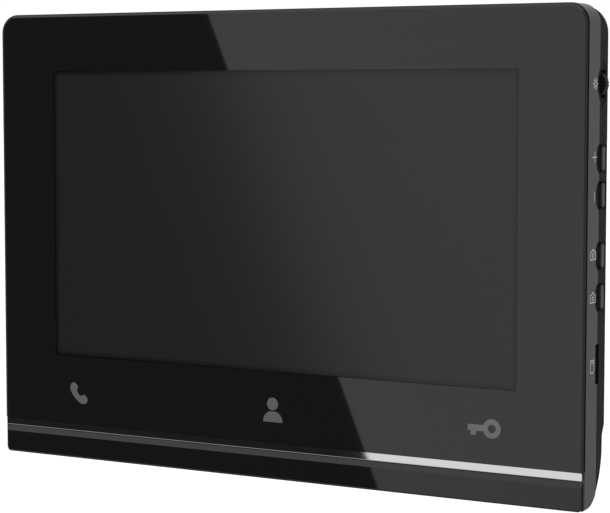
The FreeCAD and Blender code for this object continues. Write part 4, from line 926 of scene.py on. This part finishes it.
@dataclass
class Sound:
    """The loudspeaker behind its grille and the microphone in the foot."""

    def dress(self) -> None:
        """Finishes the loudspeaker, the microphone and their leads."""
        dress(WorkedMetal("basket_steel", (0.32, 0.32, 0.33), 0.4), "speaker_basket")
        dress(WorkedMetal("magnet_plate", (0.36, 0.36, 0.37), 0.3), "speaker_magnet")
        dress(Elastic("cone_paper", (0.03, 0.03, 0.03), 1.2 * MM), "speaker_cone")
        dress(WovenCloth("dust_cloth", (0.022, 0.022, 0.022)), "speaker_mesh")
        dress(Elastic("seal_foam", (0.04, 0.04, 0.04), 0.8 * MM), "speaker_seal")
        dress(WorkedMetal("sound_screw", (0.45, 0.45, 0.44), 0.3, Axis.UP), "speaker_screws")
        dress(Striped("terminal_board", (0.3, 0.18, 0.08), (0.75, 0.74, 0.7)), "speaker_terminal")
        dress(Ink("lead_red", (0.4, 0.02, 0.015), 0.4), "speaker_leads")
        dress(Ink("lead_white", (0.6, 0.6, 0.58), 0.4), "mic_leads")
        dress(WorkedMetal("capsule_alloy", (0.6, 0.6, 0.6), 0.3), "microphone")
        dress(Elastic("boot_rubber", (0.02, 0.02, 0.02)), "mic_boot")


@dataclass
class WallPlate:
    """The steel plate that hangs on the wall."""

    def dress(self) -> None:
        """Finishes the plate."""
        dress(ZincPlate("zinc_plate"), "wall_bracket")


@dataclass
class Studio:
    """The camera, a white surround, a soft panel, a dark flag beside it and a card above."""

    eye: Tuple[float, float, float] = (0.4541, -0.7645, 0.0636)
    tilt: float = 85.52
    turn: float = 30.54
    lens: float = 123.93
    sensor: float = 36.0
    surround: float = 0.5
    backdrop: float = 1.02
    panel_wide: float = 0.58
    panel_high: float = 1.05
    panel_away: float = -1.5
    panel_edge: Point = (-0.837, -0.2164)
    panel_slant: float = -22.93
    panel_glow: float = 0.95
    flag_away: float = -1.62
    flag_sides: Tuple[float, ...] = (-2.9, 0.0, -0.6, 0.6)
    card_sides: Tuple[float, ...] = (-2.2, 0.2, 0.6, 1.6)
    floor_reach: float = 12.0
    floor_below: float = 0.16

    def camera(self) -> None:
        """Stands the camera to the right of the object and a little above its middle."""
        data = bpy.data.cameras.new("camera")
        data.lens = self.lens
        data.sensor_width = self.sensor
        camera = bpy.data.objects.new("camera", data)
        camera.location = self.eye
        camera.rotation_euler = (math.radians(self.tilt), 0.0, math.radians(self.turn))
        bpy.context.scene.collection.objects.link(camera)
        bpy.context.scene.camera = camera

    def soft_panel(self) -> None:
        """Hangs the large light, whose left edge slants across the glossy face."""
        data = bpy.data.lights.new("soft_panel", "AREA")
        data.shape = "RECTANGLE"
        data.size = self.panel_wide
        data.size_y = self.panel_high
        data.energy = self.panel_glow * math.pi * self.panel_wide * self.panel_high
        light = bpy.data.objects.new("soft_panel", data)
        slant = Matrix.Rotation(math.radians(self.panel_slant), 4, "Y")
        upright = Matrix.Rotation(math.radians(90.0), 4, "X")
        across = slant @ Vector((self.panel_wide / 2.0, 0.0, 0.0))
        edge = Vector((self.panel_edge[0], self.panel_away, self.panel_edge[1]))
        light.matrix_world = Matrix.Translation(edge + across) @ slant @ upright
        light.visible_camera = False
        bpy.context.scene.collection.objects.link(light)

    def sheet(self, name: str, corners: Sequence[Sequence[float]], colour: Colour,
              glow: float) -> bpy.types.Object:
        """Adds one flat sheet of the studio.

        Args:
            name: its name.
            corners: its four corners, in metres.
            colour: its colour.
            glow: how much light it gives of its own.

        Returns:
            The sheet.
        """
        mesh = bpy.data.meshes.new(name)
        mesh.from_pydata([tuple(c) for c in corners], [], [(0, 1, 2, 3)])
        g = Graph(name)
        paper = g.mix(g.noise(0.4), shade(colour, 0.97), colour)
        mesh.materials.append(
            g.finish(Base_Color=paper, Roughness=0.9, Emission_Color=paper, Emission_Strength=glow)
        )
        made = bpy.data.objects.new(name, mesh)
        bpy.context.scene.collection.objects.link(made)
        return made

    def floor(self) -> None:
        """Lays the pale floor, well below the object."""
        low, _ = CAD_BOX
        high, reach = low.z - self.floor_below, self.floor_reach
        corners = [(-reach, -reach, high), (reach, -reach, high), (reach, reach, high),
                   (-reach, reach, high)]
        floor = self.sheet("studio_floor", corners, (0.92, 0.92, 0.92), 0.75)
        floor.visible_glossy = False
        floor.visible_diffuse = False

    def upright(self, name: str, sides: Sequence[float], colour: Colour, glow: float) -> None:
        """Stands a sheet in front of the object that only mirrors see.

        Args:
            name: its name.
            sides: its left, right, foot and top, in metres.
            colour: its colour.
            glow: how much light it gives of its own.
        """
        left, right, foot, top = sides
        away = self.flag_away
        corners = [(left, away, foot), (right, away, foot), (right, away, top), (left, away, top)]
        sheet = self.sheet(name, corners, colour, glow)
        sheet.visible_camera = False
        sheet.visible_diffuse = False
        sheet.visible_shadow = False

    def light(self) -> None:
        """Fills the room with even light, white where the camera looks straight at it."""
        world = bpy.data.worlds.new("studio")
        world.use_nodes = True
        tree = world.node_tree
        tree.nodes.clear()
        path = tree.nodes.new("ShaderNodeLightPath")
        level = tree.nodes.new("ShaderNodeMapRange")
        level.inputs["To Min"].default_value = self.surround
        level.inputs["To Max"].default_value = self.backdrop
        background = tree.nodes.new("ShaderNodeBackground")
        background.inputs["Color"].default_value = (1.0, 1.0, 1.0, 1.0)
        out = tree.nodes.new("ShaderNodeOutputWorld")
        tree.links.new(path.outputs["Is Camera Ray"], level.inputs["Value"])
        tree.links.new(level.outputs["Result"], background.inputs["Strength"])
        tree.links.new(background.outputs[0], out.inputs[0])
        bpy.context.scene.world = world

    def build(self) -> None:
        """Sets up the whole studio."""
        bpy.context.scene.view_settings.view_transform = "Standard"
        self.camera()
        self.soft_panel()
        self.floor()
        self.upright("studio_flag", self.flag_sides, (0.012, 0.012, 0.012), 0.0)
        self.upright("upper_card", self.card_sides, (0.9, 0.9, 0.9), 0.9)
        self.light()


def main() -> None:
    """Builds and dresses every sub-assembly, then the studio."""
    logging.basicConfig(level=logging.INFO, format="%(message)s")
    front, side = FrontFace(), SideControls()
    front.build()
    side.build()
    for part in (front, Display(), Shell(), side, Electronics(), Sound(), WallPlate()):
        part.dress()
    Studio().build()


if __name__ == "__main__":
    main()
